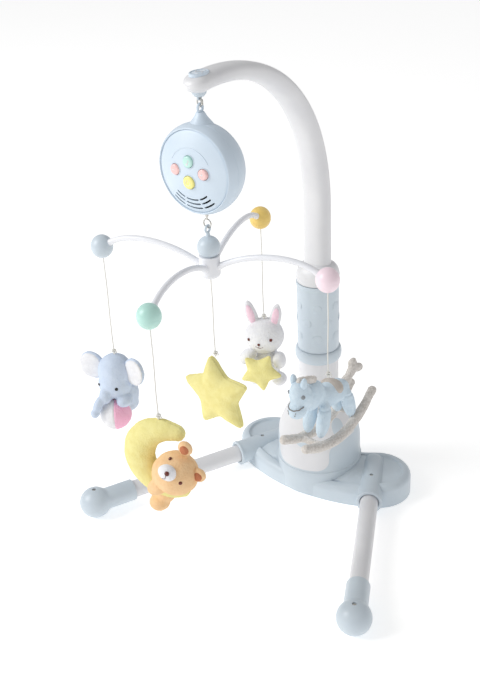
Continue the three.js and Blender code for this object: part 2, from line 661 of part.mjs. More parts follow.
function armRings(inset) {
  const up = v(0, 0, 1);
  const rings = [];
  const round = (r, z) => rings.push(ovalRing(v(0, 0, z), up, r - inset, r - inset));
  const below = inset > 0 ? 1 : 0;
  round(PLUG_RADIUS, PLUG_BOTTOM - below);
  round(PLUG_RADIUS, NECK_TOP + GAP);
  if (inset === 0) {
    round(STEP_RADIUS, NECK_TOP + GAP);
    round(STEP_RADIUS, SLEEVE_TOP + GAP);
    round(SHOULDER_RADIUS, SLEEVE_TOP + GAP);
    round(SHOULDER_RADIUS, SLEEVE_TOP + 6);
  } else {
    round(PLUG_RADIUS, SLEEVE_TOP + 4);
  }
  for (const t of [0.45, 0.75]) {
    const z = THREE.MathUtils.lerp(SLEEVE_TOP + 6, SHOULDER_TOP, t);
    const mix = 1 - Math.sqrt(1 - t * t) * 0.92;
    const side = (end) => THREE.MathUtils.lerp(SHOULDER_RADIUS, end, mix) - inset;
    rings.push(ovalRing(v(0, 0, z), up, Math.max(side(ARM_WIDTH / 2), 4),
      Math.max(side(ARM_DEPTH / 2), 4)));
  }
  const path = armPath();
  const length = path.getLength();
  const steps = 16;
  for (let i = 0; i <= steps; i += 1) {
    const t = i / steps;
    const toEnd = length * (1 - t);
    if (toEnd < inset * 2) break;
    const round01 = Math.sqrt(Math.max(0.04, 1 - Math.max(0, 1 - toEnd / 18) ** 2));
    const taper = THREE.MathUtils.smoothstep(t, 0.25, 1);
    const width = THREE.MathUtils.lerp(ARM_WIDTH, TIP_WIDTH, taper) / 2;
    const depth = THREE.MathUtils.lerp(ARM_DEPTH, TIP_DEPTH, taper) / 2;
    rings.push(ovalRing(path.getPointAt(t), path.getTangentAt(t),
      Math.max(width * round01 - inset, 1), Math.max(depth * round01 - inset, 1)));
  }
  return rings;
}

const armOuter = () => solid(loft(armRings(0), fanEnd));

function badgeShape(grow) {
  const outline = new THREE.Shape();
  outline.absellipse(0, 0, BADGE_WIDTH / 2 + grow, BADGE_LENGTH / 2 + grow, 0, 2 * Math.PI);
  const thickness = 4;
  const geometry = new THREE.ExtrudeGeometry(outline, {
    depth: thickness + grow, bevelEnabled: false, curveSegments: 6,
  });
  return geometry.translate(0, -ARM_REACH + 2, ARM_RISE + TIP_DEPTH / 2 - 2.4 - grow);
}

function ringAcross(z, radius, wire, aboutY, sides = 6, around = 12) {
  const ring = new THREE.TorusGeometry(radius, wire, sides, around);
  if (aboutY) ring.rotateX(Math.PI / 2);
  else ring.rotateY(Math.PI / 2);
  return ring.translate(0, -ARM_REACH, z);
}

function buildArm() {
  const outer = armOuter();
  const inner = solid(loft(armRings(ARM_WALL), fanEnd));
  add('arch_arm', cut(outer, [inner, solid(badgeShape(GAP))]), WHITE);
  add('tip_badge', badgeShape(0), BLUE);

  const mountTop = ARM_RISE - TIP_DEPTH / 2 + 4;
  const block = solid(turned([[0, LUG_Z + 2.4], [7, LUG_Z + 2.4], [9, LUG_Z + 5], [9, mountTop],
    [0, mountTop]], 12).translate(0, -ARM_REACH, 0));
  const lug = solid(ringAcross(LUG_Z, LUG_RADIUS, LUG_WIRE, false));
  const armBelow = armOuter().translate(0, 0, -GAP);
  add('hook_mount', cut(block, [armBelow]).add(lug), BLUE);

  const link = new THREE.CatmullRomCurve3([
    v(0, 0, LINK_TOP), v(LINK_HALF_WIDTH, 0, LINK_TOP - 3.4), v(LINK_HALF_WIDTH, 0, LINK_BOTTOM + 3.4),
    v(0, 0, LINK_BOTTOM), v(-LINK_HALF_WIDTH, 0, LINK_BOTTOM + 3.4),
    v(-LINK_HALF_WIDTH, 0, LINK_TOP - 3.4),
  ], true);
  add('arm_hook', closedTube(link, LINK_WIRE, 12, 6).translate(0, -ARM_REACH, 0), STEEL);
}

// A ring of wire along a closed flat curve in the XZ plane.
function closedTube(curve, radius, steps, sides) {
  const corners = [];
  const faces = [];
  for (let i = 0; i < steps; i += 1) {
    const centre = curve.getPointAt(i / steps);
    const along = curve.getTangentAt(i / steps);
    const out = new THREE.Vector3().crossVectors(along, v(0, 1, 0)).normalize();
    for (let j = 0; j < sides; j += 1) {
      const angle = (j / sides) * 2 * Math.PI;
      const p = centre.clone().addScaledVector(out, radius * Math.cos(angle));
      corners.push(p.x, p.y + radius * Math.sin(angle), p.z);
      const a = i * sides + j;
      const b = i * sides + ((j + 1) % sides);
      const c = ((i + 1) % steps) * sides + ((j + 1) % sides);
      const d = ((i + 1) % steps) * sides + j;
      faces.push(a, b, c, a, c, d);
    }
  }
  const geometry = new THREE.BufferGeometry();
  geometry.setAttribute('position', new THREE.Float32BufferAttribute(corners, 3));
  geometry.setIndex(faces);
  return geometry;
}

// ---------------------------------------------------------------- music box

// Everything in this section is drawn about the music box's own centre.
const musicBox = new THREE.Group();
musicBox.position.set(0, -ARM_REACH, BOX_Z);
mobile.add(musicBox);

const faceAt = (r) => RIM_Y - FACE_BULGE * (1 - (r / FACE_RADIUS) ** 2);

function backOutline(inset) {
  const corners = [];
  for (let i = 0; i <= 5; i += 1) {
    const angle = (i / 5) * (Math.PI / 2);
    const r = (BOX_RADIUS - inset) * Math.cos(angle) ** 0.8;
    const y = SPLIT_Y + (BOX_BACK - SPLIT_Y - inset) * Math.sin(angle) ** 0.95;
    corners.push([i === 5 ? 0 : r, y]);
  }
  return corners;
}

function neckSolid(grow) {
  const top = EYE_LOCAL_Z - EYE_RADIUS;
  const rim = BOX_RADIUS;
  return solid(turned([[0, rim - 19], [19 + grow, rim - 19], [17 + grow, rim - 5],
    [12 + grow, rim + 1], [8 + grow, rim + 6], [4.6 + grow, top], [0, top + grow]], 12));
}

const buttons = [
  { name: 'button_green', x: 0, z: 15.7, radius: 7.4, material: MINT },
  { name: 'button_left', x: -21.7, z: 2.5, radius: 6.9, material: PINK },
  { name: 'button_right', x: 21.7, z: 2.5, radius: 6.9, material: PINK },
  { name: 'button_power', x: 0, z: -10.8, radius: 8.4, material: YELLOW },
];

const alongY = (x, z, radius, from, to, segments = 12) =>
  rod(v(x, from, z), v(x, to, z), radius, segments);

function slotArc(radius, start, end) {
  const shape = new THREE.Shape();
  const bottom = -Math.PI / 2;
  shape.absarc(0, 0, radius + SLOT_WIDTH / 2, bottom + deg(start), bottom + deg(end), false);
  shape.absarc(0, 0, radius - SLOT_WIDTH / 2, bottom + deg(end), bottom + deg(start), true);
  const flat = { depth: 30, bevelEnabled: false, curveSegments: 2 };
  const geometry = new THREE.ExtrudeGeometry(shape, flat);
  return geometry.rotateX(Math.PI / 2);
}

function facePanel() {
  const front = [];
  for (let i = 0; i <= 3; i += 1) {
    const r = (FACE_RADIUS - GAP) * (i / 3);
    front.push([r, faceAt(r)]);
  }
  const back = front.map(([r, y]) => [r, y + FACE_THICKNESS]).reverse();
  let panel = solid(turnedAboutY([...front, ...back]));
  for (const button of buttons) {
    const hole = alongY(button.x, button.z, button.radius + BUTTON_CLEARANCE, -60, 0);
    panel = panel.subtract(solid(hole));
  }
  for (const radius of SLOT_RADII) {
    for (const [start, end] of [[-42, -19], [-16, 16], [19, 42]]) {
      panel = panel.subtract(solid(slotArc(radius, start, end)));
    }
  }
  return panel;
}

function buildButtons() {
  const boardFront = RIM_Y + 6;
  for (const { name, x, z, radius, material } of buttons) {
    const face = faceAt(Math.hypot(x, z));
    const cap = solid(alongY(x, z, radius, face - BUTTON_PROUD, face + FACE_THICKNESS + 1));
    const flangeStart = face + FACE_THICKNESS + BUTTON_CLEARANCE + 2.4;
    const neck = solid(alongY(x, z, radius - 1, face, flangeStart));
    const flange = solid(alongY(x, z, radius + 1.6, flangeStart, flangeStart + 1.2));
    const stem = solid(alongY(x, z, 2, flangeStart, boardFront - BUTTON_TRAVEL - 0.4, 6));
    add(name, union([cap, neck, flange, stem]), material, musicBox);
  }
}

// A spur gear with slim teeth, so that a pair runs with plenty of backlash.
function gear(teeth, bore) {
  const pitch = (teeth * GEAR_MODULE) / 2;
  const tip = pitch + 0.8 * GEAR_MODULE;
  const root = pitch - 1.1 * GEAR_MODULE;
  const shape = new THREE.Shape();
  const step = (2 * Math.PI) / teeth;
  for (let i = 0; i < teeth; i += 1) {
    const corners = [[root, -0.3], [tip, -0.12], [tip, 0.12], [root, 0.3]];
    for (const [radius, share] of corners) {
      const angle = (i + share) * step;
      const [x, y] = [radius * Math.cos(angle), radius * Math.sin(angle)];
      if (i === 0 && share === -0.3) shape.moveTo(x, y);
      else shape.lineTo(x, y);
    }
  }
  shape.closePath();
  const hole = new THREE.Path();
  hole.absarc(0, 0, bore, 0, 2 * Math.PI, true);
  shape.holes.push(hole);
  return new THREE.ExtrudeGeometry(shape, { depth: GEAR_WIDTH, bevelEnabled: false, curveSegments: 4 });
}

const SHAFT_RADIUS = 2.4;
const WHEEL_Z = -34;
const GEAR_DISTANCE = ((WHEEL_TEETH + PINION_TEETH) * GEAR_MODULE) / 2 + 0.15;

function buildMusicBox() {
  const neck = neckSolid(0);
  const outer = solid(turnedAboutY([[0, SPLIT_Y], ...backOutline(0)]));
  const inner = solid(turnedAboutY([[0, SPLIT_Y - 1], [BOX_RADIUS - BOX_WALL, SPLIT_Y - 1],
    ...backOutline(BOX_WALL)]));
  const keep = solid(turnedAboutY([[0, -60], [BOX_RADIUS - BOX_WALL - 3, -60],
    [BOX_RADIUS - BOX_WALL - 3, 30], [0, 30]]));
  const eye = solid(ringAcross(0, EYE_RADIUS, EYE_WIRE, false)
    .translate(0, ARM_REACH, EYE_LOCAL_Z));
  const shaftHole = solid(rod(v(0, 0, -BOX_RADIUS - 5), v(0, 0, 12 - BOX_RADIUS),
    SHAFT_RADIUS + GAP, 16));
  const door = solid(doorShape(GAP));
  const topNeck = neck.subtract(keep);
  const back = cut(cut(outer, [inner]).add(topNeck).add(eye), [shaftHole, door]);
  add('music_back', back, BLUE, musicBox);

  const ledge = faceAt(FACE_RADIUS) + FACE_THICKNESS + GAP;
  const rim = solid(turnedAboutY([
    [FACE_RADIUS, RIM_Y - 0.4], [FACE_RADIUS + 1.8, RIM_Y - 0.2], [BOX_RADIUS - 1.4, RIM_Y + 6],
    [BOX_RADIUS, SPLIT_Y - GAP], [BOX_RADIUS - BOX_WALL, SPLIT_Y - GAP],
    [BOX_RADIUS - BOX_WALL - 1.2, RIM_Y + 7], [FACE_RADIUS, ledge + 2], [FACE_RADIUS - 6, ledge + 2],
    [FACE_RADIUS - 6, ledge - 1.2], [FACE_RADIUS, ledge], [FACE_RADIUS, RIM_Y - 0.4],
  ]));
  add('music_front', cut(rim, [neckSolid(GAP)]), BLUE, musicBox);
  add('face_panel', facePanel(), BLUE, musicBox);
  buildButtons();
  buildWorks();
}

// The battery door: a rectangle of the back shell that uncovers both cells.
function doorShape(grow) {
  const half = BATTERY_LENGTH / 2 + 3.75 + grow;
  const tall = CELL_SPACING / 2 + BATTERY_DIAMETER / 2 + 2 + grow;
  const outline = new THREE.Shape();
  outline.moveTo(-half, -tall);
  outline.lineTo(half, -tall);
  outline.lineTo(half, tall);
  outline.lineTo(-half, tall);
  outline.closePath();
  const geometry = new THREE.ExtrudeGeometry(outline, { depth: 30, bevelEnabled: false });
  return geometry.rotateX(-Math.PI / 2).translate(0, DOOR_CUT_Y, CELL_Z);
}

function buildWorks() {
  const board = solid(alongY(0, 2, 36, RIM_Y + 6, RIM_Y + 7.6, 20));
  const boardHole = solid(alongY(0, -34, 16, RIM_Y, RIM_Y + 12, 16));
  add('circuit_board', cut(board, [boardHole]), BOARD, musicBox);
  const cone = turnedAboutY([[0, -17.5], [11, -17.5], [13, -19], [13, -16], [8, -12.5],
    [0, -12.5]], 16);
  add('speaker', cone.translate(0, 0, -33), BLACK, musicBox);

  const wheelTop = WHEEL_Z + GEAR_WIDTH;
  const shaft = solid(rod(v(0, 0, wheelTop + 3), v(0, 0, HOOK_TOP_LOCAL), SHAFT_RADIUS, 16));
  const wheel = solid(gear(WHEEL_TEETH, SHAFT_RADIUS - 0.5).translate(0, 0, WHEEL_Z));
  const hook = solid(ringAcross(0, HOOK_RADIUS, HOOK_WIRE, true)
    .translate(0, ARM_REACH, HOOK_Z - BOX_Z));
  const stem = solid(rod(v(0, 0, HOOK_TOP_LOCAL + 1), v(0, 0, HOOK_Z + HOOK_RADIUS - BOX_Z - 0.5),
    1.2, 12));
  add('drive_hook', union([shaft, wheel, hook, stem]), STEEL, musicBox);

  const reach = GEAR_DISTANCE;
  const pinionTurn = Math.PI / 2 + Math.PI / PINION_TEETH;
  const teeth = gear(PINION_TEETH, 0.7).rotateZ(pinionTurn).translate(0, reach, WHEEL_Z);
  const spindle = solid(rod(v(0, reach, WHEEL_Z - 2), v(0, reach, WHEEL_Z + GEAR_WIDTH + 5), 1, 10));
  add('motor_pinion', solid(teeth).add(spindle), BLACK, musicBox);
  const motor = solid(new THREE.BoxGeometry(34, 20, 22).translate(0, reach - 3, wheelTop + 12.5));
  const spindleHole = solid(rod(v(0, reach, wheelTop - 2), v(0, reach, wheelTop + 6), 1 + GAP, 10));
  const shaftRoom = solid(rod(v(0, 0, wheelTop - 2), v(0, 0, wheelTop + 4), SHAFT_RADIUS + GAP, 16));
  add('gear_motor', cut(motor, [spindleHole, shaftRoom]), BLACK, musicBox);

  for (const i of [1, 2]) {
    const z = CELL_Z + (i - 1.5) * CELL_SPACING;
    const cell = rod(v(-BATTERY_LENGTH / 2, CELL_Y, z), v(BATTERY_LENGTH / 2, CELL_Y, z),
      BATTERY_DIAMETER / 2, 16);
    add(`battery_${i}`, cell, CELL, musicBox);
  }
  const outer = solid(turnedAboutY([[0, SPLIT_Y], ...backOutline(0)]));
  const inner = solid(turnedAboutY([[0, SPLIT_Y - 1], [BOX_RADIUS - BOX_WALL, SPLIT_Y - 1],
    ...backOutline(BOX_WALL)]));
  add('battery_door', cut(outer, [inner]).intersect(solid(doorShape(0))), BLUE, musicBox);
}

// ---------------------------------------------------------------- hanger

const armAngle = (i) => deg(HANGER_TURN + 90 * i);

function hangerArmCurve(i, from, to) {
  const angle = armAngle(i);
  const at = (s, z) => v(s * Math.cos(angle), s * Math.sin(angle) - ARM_REACH, z);
  const out = HANGER_RADIUS;
  return new THREE.CubicBezierCurve3(
    at(from, BALL_Z - 7), at(out * 0.27, BALL_Z + 19), at(out * 0.72, BALL_Z + 31), at(to, BALL_Z + 6),
  );
}

const arms = ['pink', 'yellow', 'blue', 'green'];
const ballMaterial = { pink: PINK, yellow: YELLOW, blue: BLUE, green: MINT };

function hangerArm(i, grow) {
  const inside = HUB_RADIUS - 5;
  const end = HANGER_RADIUS - BALL_RADIUS + 4.5;
  return tube(hangerArmCurve(i, inside - grow, end + grow), HANGER_ARM_DIAMETER / 2 + grow, 8, 8);
}

const ballPlace = (i) =>
  v(HANGER_RADIUS * Math.cos(armAngle(i)), HANGER_RADIUS * Math.sin(armAngle(i)) - ARM_REACH, BALL_Z);

function buildHanger() {
  const middle = (HUB_BOTTOM + HUB_SPLIT) / 2;
  const round = [[0, HUB_BOTTOM]];
  for (let i = 1; i <= 4; i += 1) {
    const angle = (i / 4) * (Math.PI / 2);
    round.push([HUB_RADIUS * Math.sin(angle), HUB_BOTTOM + HUB_RADIUS * (1 - Math.cos(angle))]);
  }
  const body = solid(turned([...round, [HUB_RADIUS, middle + 8], [HUB_RADIUS - 1, HUB_SPLIT - GAP],
    [0, HUB_SPLIT - GAP]], 16).translate(0, -ARM_REACH, 0));
  const grown = arms.map((_, i) => solid(hangerArm(i, GAP)));
  add('hub_body', cut(body, grown), WHITE);

  const cap = [[0, HUB_SPLIT]];
  const start = Math.asin((HUB_CAP_Z - HUB_SPLIT) / HUB_CAP_RADIUS);
  for (let i = 0; i <= 4; i += 1) {
    const angle = -start + (i / 4) * (Math.PI / 2 + start);
    const across = i === 4 ? 0 : HUB_CAP_RADIUS * Math.cos(angle);
    cap.push([across, HUB_CAP_Z + HUB_CAP_RADIUS * Math.sin(angle)]);
  }
  const capSolid = solid(turned(cap, 16).translate(0, -ARM_REACH, 0));
  const stalk = solid(rod(v(0, -ARM_REACH, HUB_CAP_Z + 8), v(0, -ARM_REACH, HUB_EYE_Z - HUB_EYE_RADIUS),
    3.2, 14, 2));
  add('hub_cap', union([capSolid, stalk, solid(ringAcross(HUB_EYE_Z, HUB_EYE_RADIUS, HUB_EYE_WIRE,
    false))]), BLUE);

  arms.forEach((color, i) => {
    add(`hanger_arm_${color}`, hangerArm(i, 0), WHITE);
    const place = ballPlace(i);
    const ball = solid(egg([BALL_RADIUS, BALL_RADIUS, BALL_RADIUS * BALL_STRETCH], place.toArray(),
      [0, 0, 0], [12, 8]));
    add(`ball_${color}`, cut(ball, [solid(hangerArm(i, GAP))]), ballMaterial[color]);
  });
}

// ---------------------------------------------------------------- strings and toys

function toyGroup(place, top, facing) {
  const group = new THREE.Group();
  group.position.set(place.x, place.y, top);
  group.rotation.z = deg(facing);
  mobile.add(group);
  return group;
}

// A string's route from the piece that it hangs from down to the toy, with a little play.
function stringRoute(place, from, to) {
  const points = [];
  const count = 15;
  for (let i = 0; i < count; i += 1) {
    const t = i / (count - 1);
    const sway = 0.6 * Math.sin(2 * Math.PI * t) * Math.sin(Math.PI * t);
    points.push(v(place.x + sway, place.y, THREE.MathUtils.lerp(from, to, t)));
  }
  return new THREE.CatmullRomCurve3(points);
}

function addString(name, place, anchor) {
  const from = anchor - GAP;
  const to = toyTop(name) + GAP;
  const steps = Math.round(STRING_LENGTH[name] / (STRING_DIAMETER * 8));
  add(`string_${name}`, tube(stringRoute(place, from, to), STRING_DIAMETER / 2, steps, 8), STRING);
}

function starShape(outer, inner, thickness, bevel, turn = 0) {
  const shape = new THREE.Shape();
  for (let i = 0; i < 10; i += 1) {
    const radius = (i % 2 === 0 ? outer : inner) - bevel;
    const angle = Math.PI / 2 + deg(turn) + (i * Math.PI) / 5;
    const [x, y] = [radius * Math.cos(angle), radius * Math.sin(angle)];
    if (i === 0) shape.moveTo(x, y);
    else shape.lineTo(x, y);
  }
  shape.closePath();
  const geometry = new THREE.ExtrudeGeometry(shape, {
    depth: thickness - 2 * bevel, bevelThickness: bevel, bevelSize: bevel, bevelSegments: 2,
  });
  return geometry.rotateX(Math.PI / 2).translate(0, (thickness - 2 * bevel) / 2, 0);
}

function buildElephant() {
  const place = ballPlace(2);
  addString('elephant', place, BALL_BOTTOM);
  const toy = toyGroup(place, toyTop('elephant'), 8);
  const ballCentre = [4, -18, -90];
  const held = egg([25, 25, 25], ballCentre, [0, 0, 0], [12, 8]);
  const room = egg([25 + GAP, 25 + GAP, 25 + GAP], ballCentre, [0, 0, 0], [12, 8]);
  const body = union([
    egg([26, 25, 28], [0, -2, -28.2]),
    egg([23, 20, 30], [4, 8, -68]),
    egg([20, 7, 23], [-39, -5, -24], [0, -12, 12]),
    egg([20, 7, 23], [34, -3, -21], [0, 12, -12]),
    egg([8, 9, 15], [-5, -27, -42], [-25, 0, 0]),
    egg([6, 7, 16], [-10, -41, -62], [-20, 10, 0]),
    egg([11, 14, 9], [22, -6, -62]),
    egg([10, 14, 11], [25, 2, -86]),
    egg([10, 14, 11], [-17, 2, -86]),
  ].map(solid));
  add('elephant', body.subtract(solid(room)), BLUE_PLUSH, toy);
  add('elephant_ball', held, PINK_PLUSH, toy);
}

const MOON_RADIUS = 54;
const MOON_THICKNESS = 26;

function crescent(grow) {
  const shape = new THREE.Shape();
  const start = deg(62);
  shape.absarc(0, 0, MOON_RADIUS + grow, start, 2 * Math.PI - start, false);
  shape.absarc(24, 0, 44 - grow, 1.5 * Math.PI, 0.5 * Math.PI, true);
  shape.closePath();
  const depth = MOON_THICKNESS + 2 * grow;
  const geometry = new THREE.ExtrudeGeometry(shape, {
    depth, bevelEnabled: false, curveSegments: 9,
  });
  return geometry.rotateX(Math.PI / 2).translate(0, depth / 2, 0);
}

function buildBear() {
  const place = ballPlace(3);
  addString('bear', place, BALL_BOTTOM);
  const toy = toyGroup(place, toyTop('bear'), 12);
  const down = -54;
  const moon = crescent(0).translate(8, 0, down);
  const room = solid(crescent(GAP).translate(8, 0, down));
  const body = union([
    egg([29, 26, 28], [26, -22, -58]),
    egg([9, 7, 9], [42, -20, -26]),
    egg([9, 7, 9], [56, -20, -58]),
    egg([12, 10, 12], [16, -46, -62]),
    egg([22, 20, 26], [14, -12, -72]),
    egg([11, 10, 22], [-2, -20, -84], [0, 60, 0]),
    egg([11, 10, 24], [-1, -20, -110], [0, 14, 0]),
    egg([12, 13, 10], [-7, -24, -134]),
  ].map(solid));
  add('moon', moon, YELLOW_PLUSH, toy);
  add('bear', body.subtract(room), TAN_PLUSH, toy);
}

function buildRabbit() {
  const place = ballPlace(1);
  addString('rabbit', place, BALL_BOTTOM);
  const toy = toyGroup(place, toyTop('rabbit'), 27);
  const starAt = [-3, -35, -73];
  const star = starShape(34, 17, 16, 5, 12).translate(...starAt);
  const room = starShape(34 + GAP, 17 + GAP, 16 + 2 * GAP, 5, 12).translate(...starAt);
  const body = union([
    egg([30, 27, 28], [0, 0, -28.2]),
    egg([9, 6, 25], [-19, 2, 5], [0, -16, 0]),
    egg([9, 6, 25], [17, 2, 0], [0, 10, 0]),
    egg([22, 19, 27], [2, 2, -76]),
    egg([11, 10, 16], [-25, -11, -58], [0, 50, 0]),
    egg([10, 12, 14], [24, -12, -62]),
    egg([11, 14, 10], [-15, -8, -98]),
    egg([12, 14, 10], [22, -8, -99]),
  ].map(solid));
  add('rabbit', body.subtract(solid(room)), WHITE_PLUSH, toy);
  add('rabbit_star', star, YELLOW_PLUSH, toy);
}

function buildHorse() {
  const place = ballPlace(0);
  addString('horse', place, BALL_BOTTOM);
  const toy = toyGroup(place, toyTop('horse'), -5);
  const legs = [[-1, -28], [1, -28], [-1, 34], [1, 34]];
  const body = union([
    egg([16, 36, 17], [0, 6, -26], [-8, 0, 0]),
    egg([13, 21, 20], [0, -34, -11], [35, 0, 0]),
    egg([14, 16, 25], [0, -58, -1], [20, 0, 0]),
    egg([12, 13, 13], [0, -66, -17]),
    egg([4, 5, 10], [-8, -62, 20]),
    egg([4, 5, 10], [8, -62, 20]),
    ...legs.map(([side, y]) => egg([9, 10, 26], [side * 11, y * 0.9, -50], [y > 0 ? 16 : -16, 0, 0])),
  ].map(solid));
  const runner = (side) => new THREE.CatmullRomCurve3([
    v(side * 18, -72, -68), v(side * 18, -38, -82), v(side * 18, 4, -87), v(side * 18, 44, -74),
    v(side * 18, 76, -50),
  ]);
  const bar = (y, z) => solid(rod(v(-18, y, z), v(18, y, z), 4.5, 10));
  const rockers = union([
    solid(tube(runner(-1), 7, 8, 8)),
    solid(tube(runner(1), 7, 8, 8)),
    bar(-38, -82),
    bar(44, -74),
  ]);
  const room = union([
    solid(tube(runner(-1), 7 + GAP, 8, 8)),
    solid(tube(runner(1), 7 + GAP, 8, 8)),
    solid(rod(v(-18, -38, -82), v(18, -38, -82), 4.5 + GAP, 10)),
    solid(rod(v(-18, 44, -74), v(18, 44, -74), 4.5 + GAP, 10)),
  ]);
  add('rocking_horse', body.subtract(room), BLUE_PLUSH, toy);
  add('rockers', rockers, SHERPA, toy);
}

function buildStar() {
  const place = v(0, -ARM_REACH, 0);
  addString('star', place, HUB_BOTTOM);
  const toy = toyGroup(place, toyTop('star'), -3);
  const outer = 61;
  const star = starShape(outer, 31, 30, 10, 9).translate(0, 0, -outer * Math.cos(deg(9)));
  add('star', star, YELLOW_PLUSH, toy);
}

buildBase();
buildPost();
buildArm();
buildMusicBox();
buildHanger();
buildElephant();
buildBear();
buildRabbit();
buildHorse();
buildStar();

export default mobile;
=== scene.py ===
"""Looks of a floor-standing crib mobile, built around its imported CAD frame.

Every size is in millimetres until a mesh is made, and every mesh is made in metres, in the
frame's own axes: +Z up, the legs and the arm reach towards -Y, +X to the right from the front.
"""

import logging
import math
from dataclasses import dataclass, field
from enum import Enum
from typing import Callable, Iterable, Sequence

import bmesh
import bpy
from mathutils import Matrix, Vector, noise


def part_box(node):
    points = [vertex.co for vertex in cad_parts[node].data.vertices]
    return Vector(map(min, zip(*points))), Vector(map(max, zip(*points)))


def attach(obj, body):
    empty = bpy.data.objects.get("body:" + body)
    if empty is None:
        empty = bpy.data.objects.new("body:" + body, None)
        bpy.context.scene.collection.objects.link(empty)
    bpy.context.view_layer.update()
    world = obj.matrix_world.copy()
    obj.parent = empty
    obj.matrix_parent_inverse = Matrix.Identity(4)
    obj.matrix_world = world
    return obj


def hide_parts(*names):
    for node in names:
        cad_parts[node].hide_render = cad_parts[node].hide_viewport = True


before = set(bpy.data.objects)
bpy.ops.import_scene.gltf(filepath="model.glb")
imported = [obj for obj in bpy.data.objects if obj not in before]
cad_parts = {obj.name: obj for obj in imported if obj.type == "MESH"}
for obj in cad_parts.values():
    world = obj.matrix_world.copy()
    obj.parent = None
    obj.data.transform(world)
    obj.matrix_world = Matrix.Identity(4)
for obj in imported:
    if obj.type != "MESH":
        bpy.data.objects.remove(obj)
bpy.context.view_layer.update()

log = logging.getLogger("crib_mobile")

MM = 0.001
TURN = 2 * math.pi
SHARP_ANGLE = math.radians(32)
Point = tuple[float, float, float]
Corner = tuple[float, ...]


# ------------------------------------------------------------------ small tools


def linear(code: str) -> tuple[float, float, float, float]:
    """Turns an sRGB hex colour into linear red, green, blue and alpha.

    Args:
        code: The colour as six hex digits.

    Returns:
        The linear colour.
    """
    parts = [int(code[i : i + 2], 16) / 255 for i in (0, 2, 4)]
    lin = [c / 12.92 if c <= 0.04045 else ((c + 0.055) / 1.055) ** 2.4 for c in parts]
    return (lin[0], lin[1], lin[2], 1.0)


def add_node(tree: bpy.types.NodeTree, kind: str, settings: dict | None = None, **sockets) -> bpy.types.Node:
    """Adds a node, sets its properties, and sets or links its input sockets.

    Args:
        tree: The tree that the node goes into.
        kind: The node's Blender type name.
        settings: Node properties by name, such as operation.
        sockets: Inputs by name, with _ for a space, or as i0, i1 for a place in the list. A
            value that is an output socket is linked, and anything else is set.

    Returns:
        The node.
    """
    node = tree.nodes.new(kind)
    for name, value in (settings or {}).items():
        setattr(node, name, value)
    for name, value in sockets.items():
        by_place = name[0] == "i" and name[1:].isdigit()
        socket = node.inputs[int(name[1:]) if by_place else name.replace("_", " ")]
        if isinstance(value, bpy.types.NodeSocket):
            tree.links.new(value, socket)
        else:
            socket.default_value = value
    return node


def lerp(a: float, b: float, t: float) -> float:
    """Returns the value a share t of the way from a to b."""
    return a + (b - a) * t


def smoothstep(x: float, low: float, high: float) -> float:
    """Returns 0 below low, 1 above high, and a smooth rise between them."""
    t = min(1.0, max(0.0, (x - low) / (high - low)))
    return t * t * (3 - 2 * t)


def fillet(corners: Sequence[Corner], steps: int = 4) -> list[tuple[float, float]]:
    """Rounds the corners of a flat outline.

    Args:
        corners: (x, y) or (x, y, radius) in order.
        steps: How many pieces each rounded corner is made of.

    Returns:
        The outline's points.
    """
    out: list[tuple[float, float]] = []
    for i, corner in enumerate(corners):
        here = Vector(corner[:2])
        radius = corner[2] if len(corner) > 2 else 0
        if radius <= 0 or i in (0, len(corners) - 1):
            out.append((here.x, here.y))
            continue
        before = (Vector(corners[i - 1][:2]) - here).normalized()
        after = (Vector(corners[i + 1][:2]) - here).normalized()
        start, end = here + before * radius, here + after * radius
        for k in range(steps + 1):
            t = k / steps
            p = start * (1 - t) ** 2 + here * 2 * t * (1 - t) + end * t * t
            out.append((p.x, p.y))
    return out


@dataclass
class Shape:
    """Corners and faces of a mesh, in millimetres."""

    points: list[Vector] = field(default_factory=list)
    faces: list[tuple[int, ...]] = field(default_factory=list)

    def add(self, other: "Shape") -> "Shape":
        """Adds another shape's corners and faces, and returns this one."""
        start = len(self.points)
        self.points += other.points
        self.faces += [tuple(i + start for i in f) for f in other.faces]
        return self

    def moved(self, matrix: Matrix) -> "Shape":
        """Returns a copy with every corner moved by the matrix."""
        return Shape([matrix @ p for p in self.points], list(self.faces))


def revolve(profile: Sequence[tuple[float, float]], steps: int = 64) -> Shape:
    """Turns an outline of (radius, height) about Z.

    Args:
        profile: The outline. It starts and ends on the axis, or is closed into a ring.
        steps: How many segments the turn has.

    Returns:
        The closed shape.
    """
    shape = Shape()
    rows: list[list[int]] = []
    for r, z in profile:
        if r < 1e-6:
            shape.points.append(Vector((0, 0, z)))
            rows.append([len(shape.points) - 1] * steps)
            continue
        start = len(shape.points)
        for i in range(steps):
            a = TURN * i / steps
            shape.points.append(Vector((r * math.cos(a), r * math.sin(a), z)))
        rows.append(list(range(start, start + steps)))
    on_axis = profile[0][0] < 1e-6 and profile[-1][0] < 1e-6
    pairs = list(zip(rows, rows[1:])) + ([] if on_axis else [(rows[-1], rows[0])])
    for low, high in pairs:
        for i in range(steps):
            j = (i + 1) % steps
            face = tuple(dict.fromkeys((low[i], low[j], high[j], high[i])))
            if len(face) > 2:
                shape.faces.append(face)
    return shape


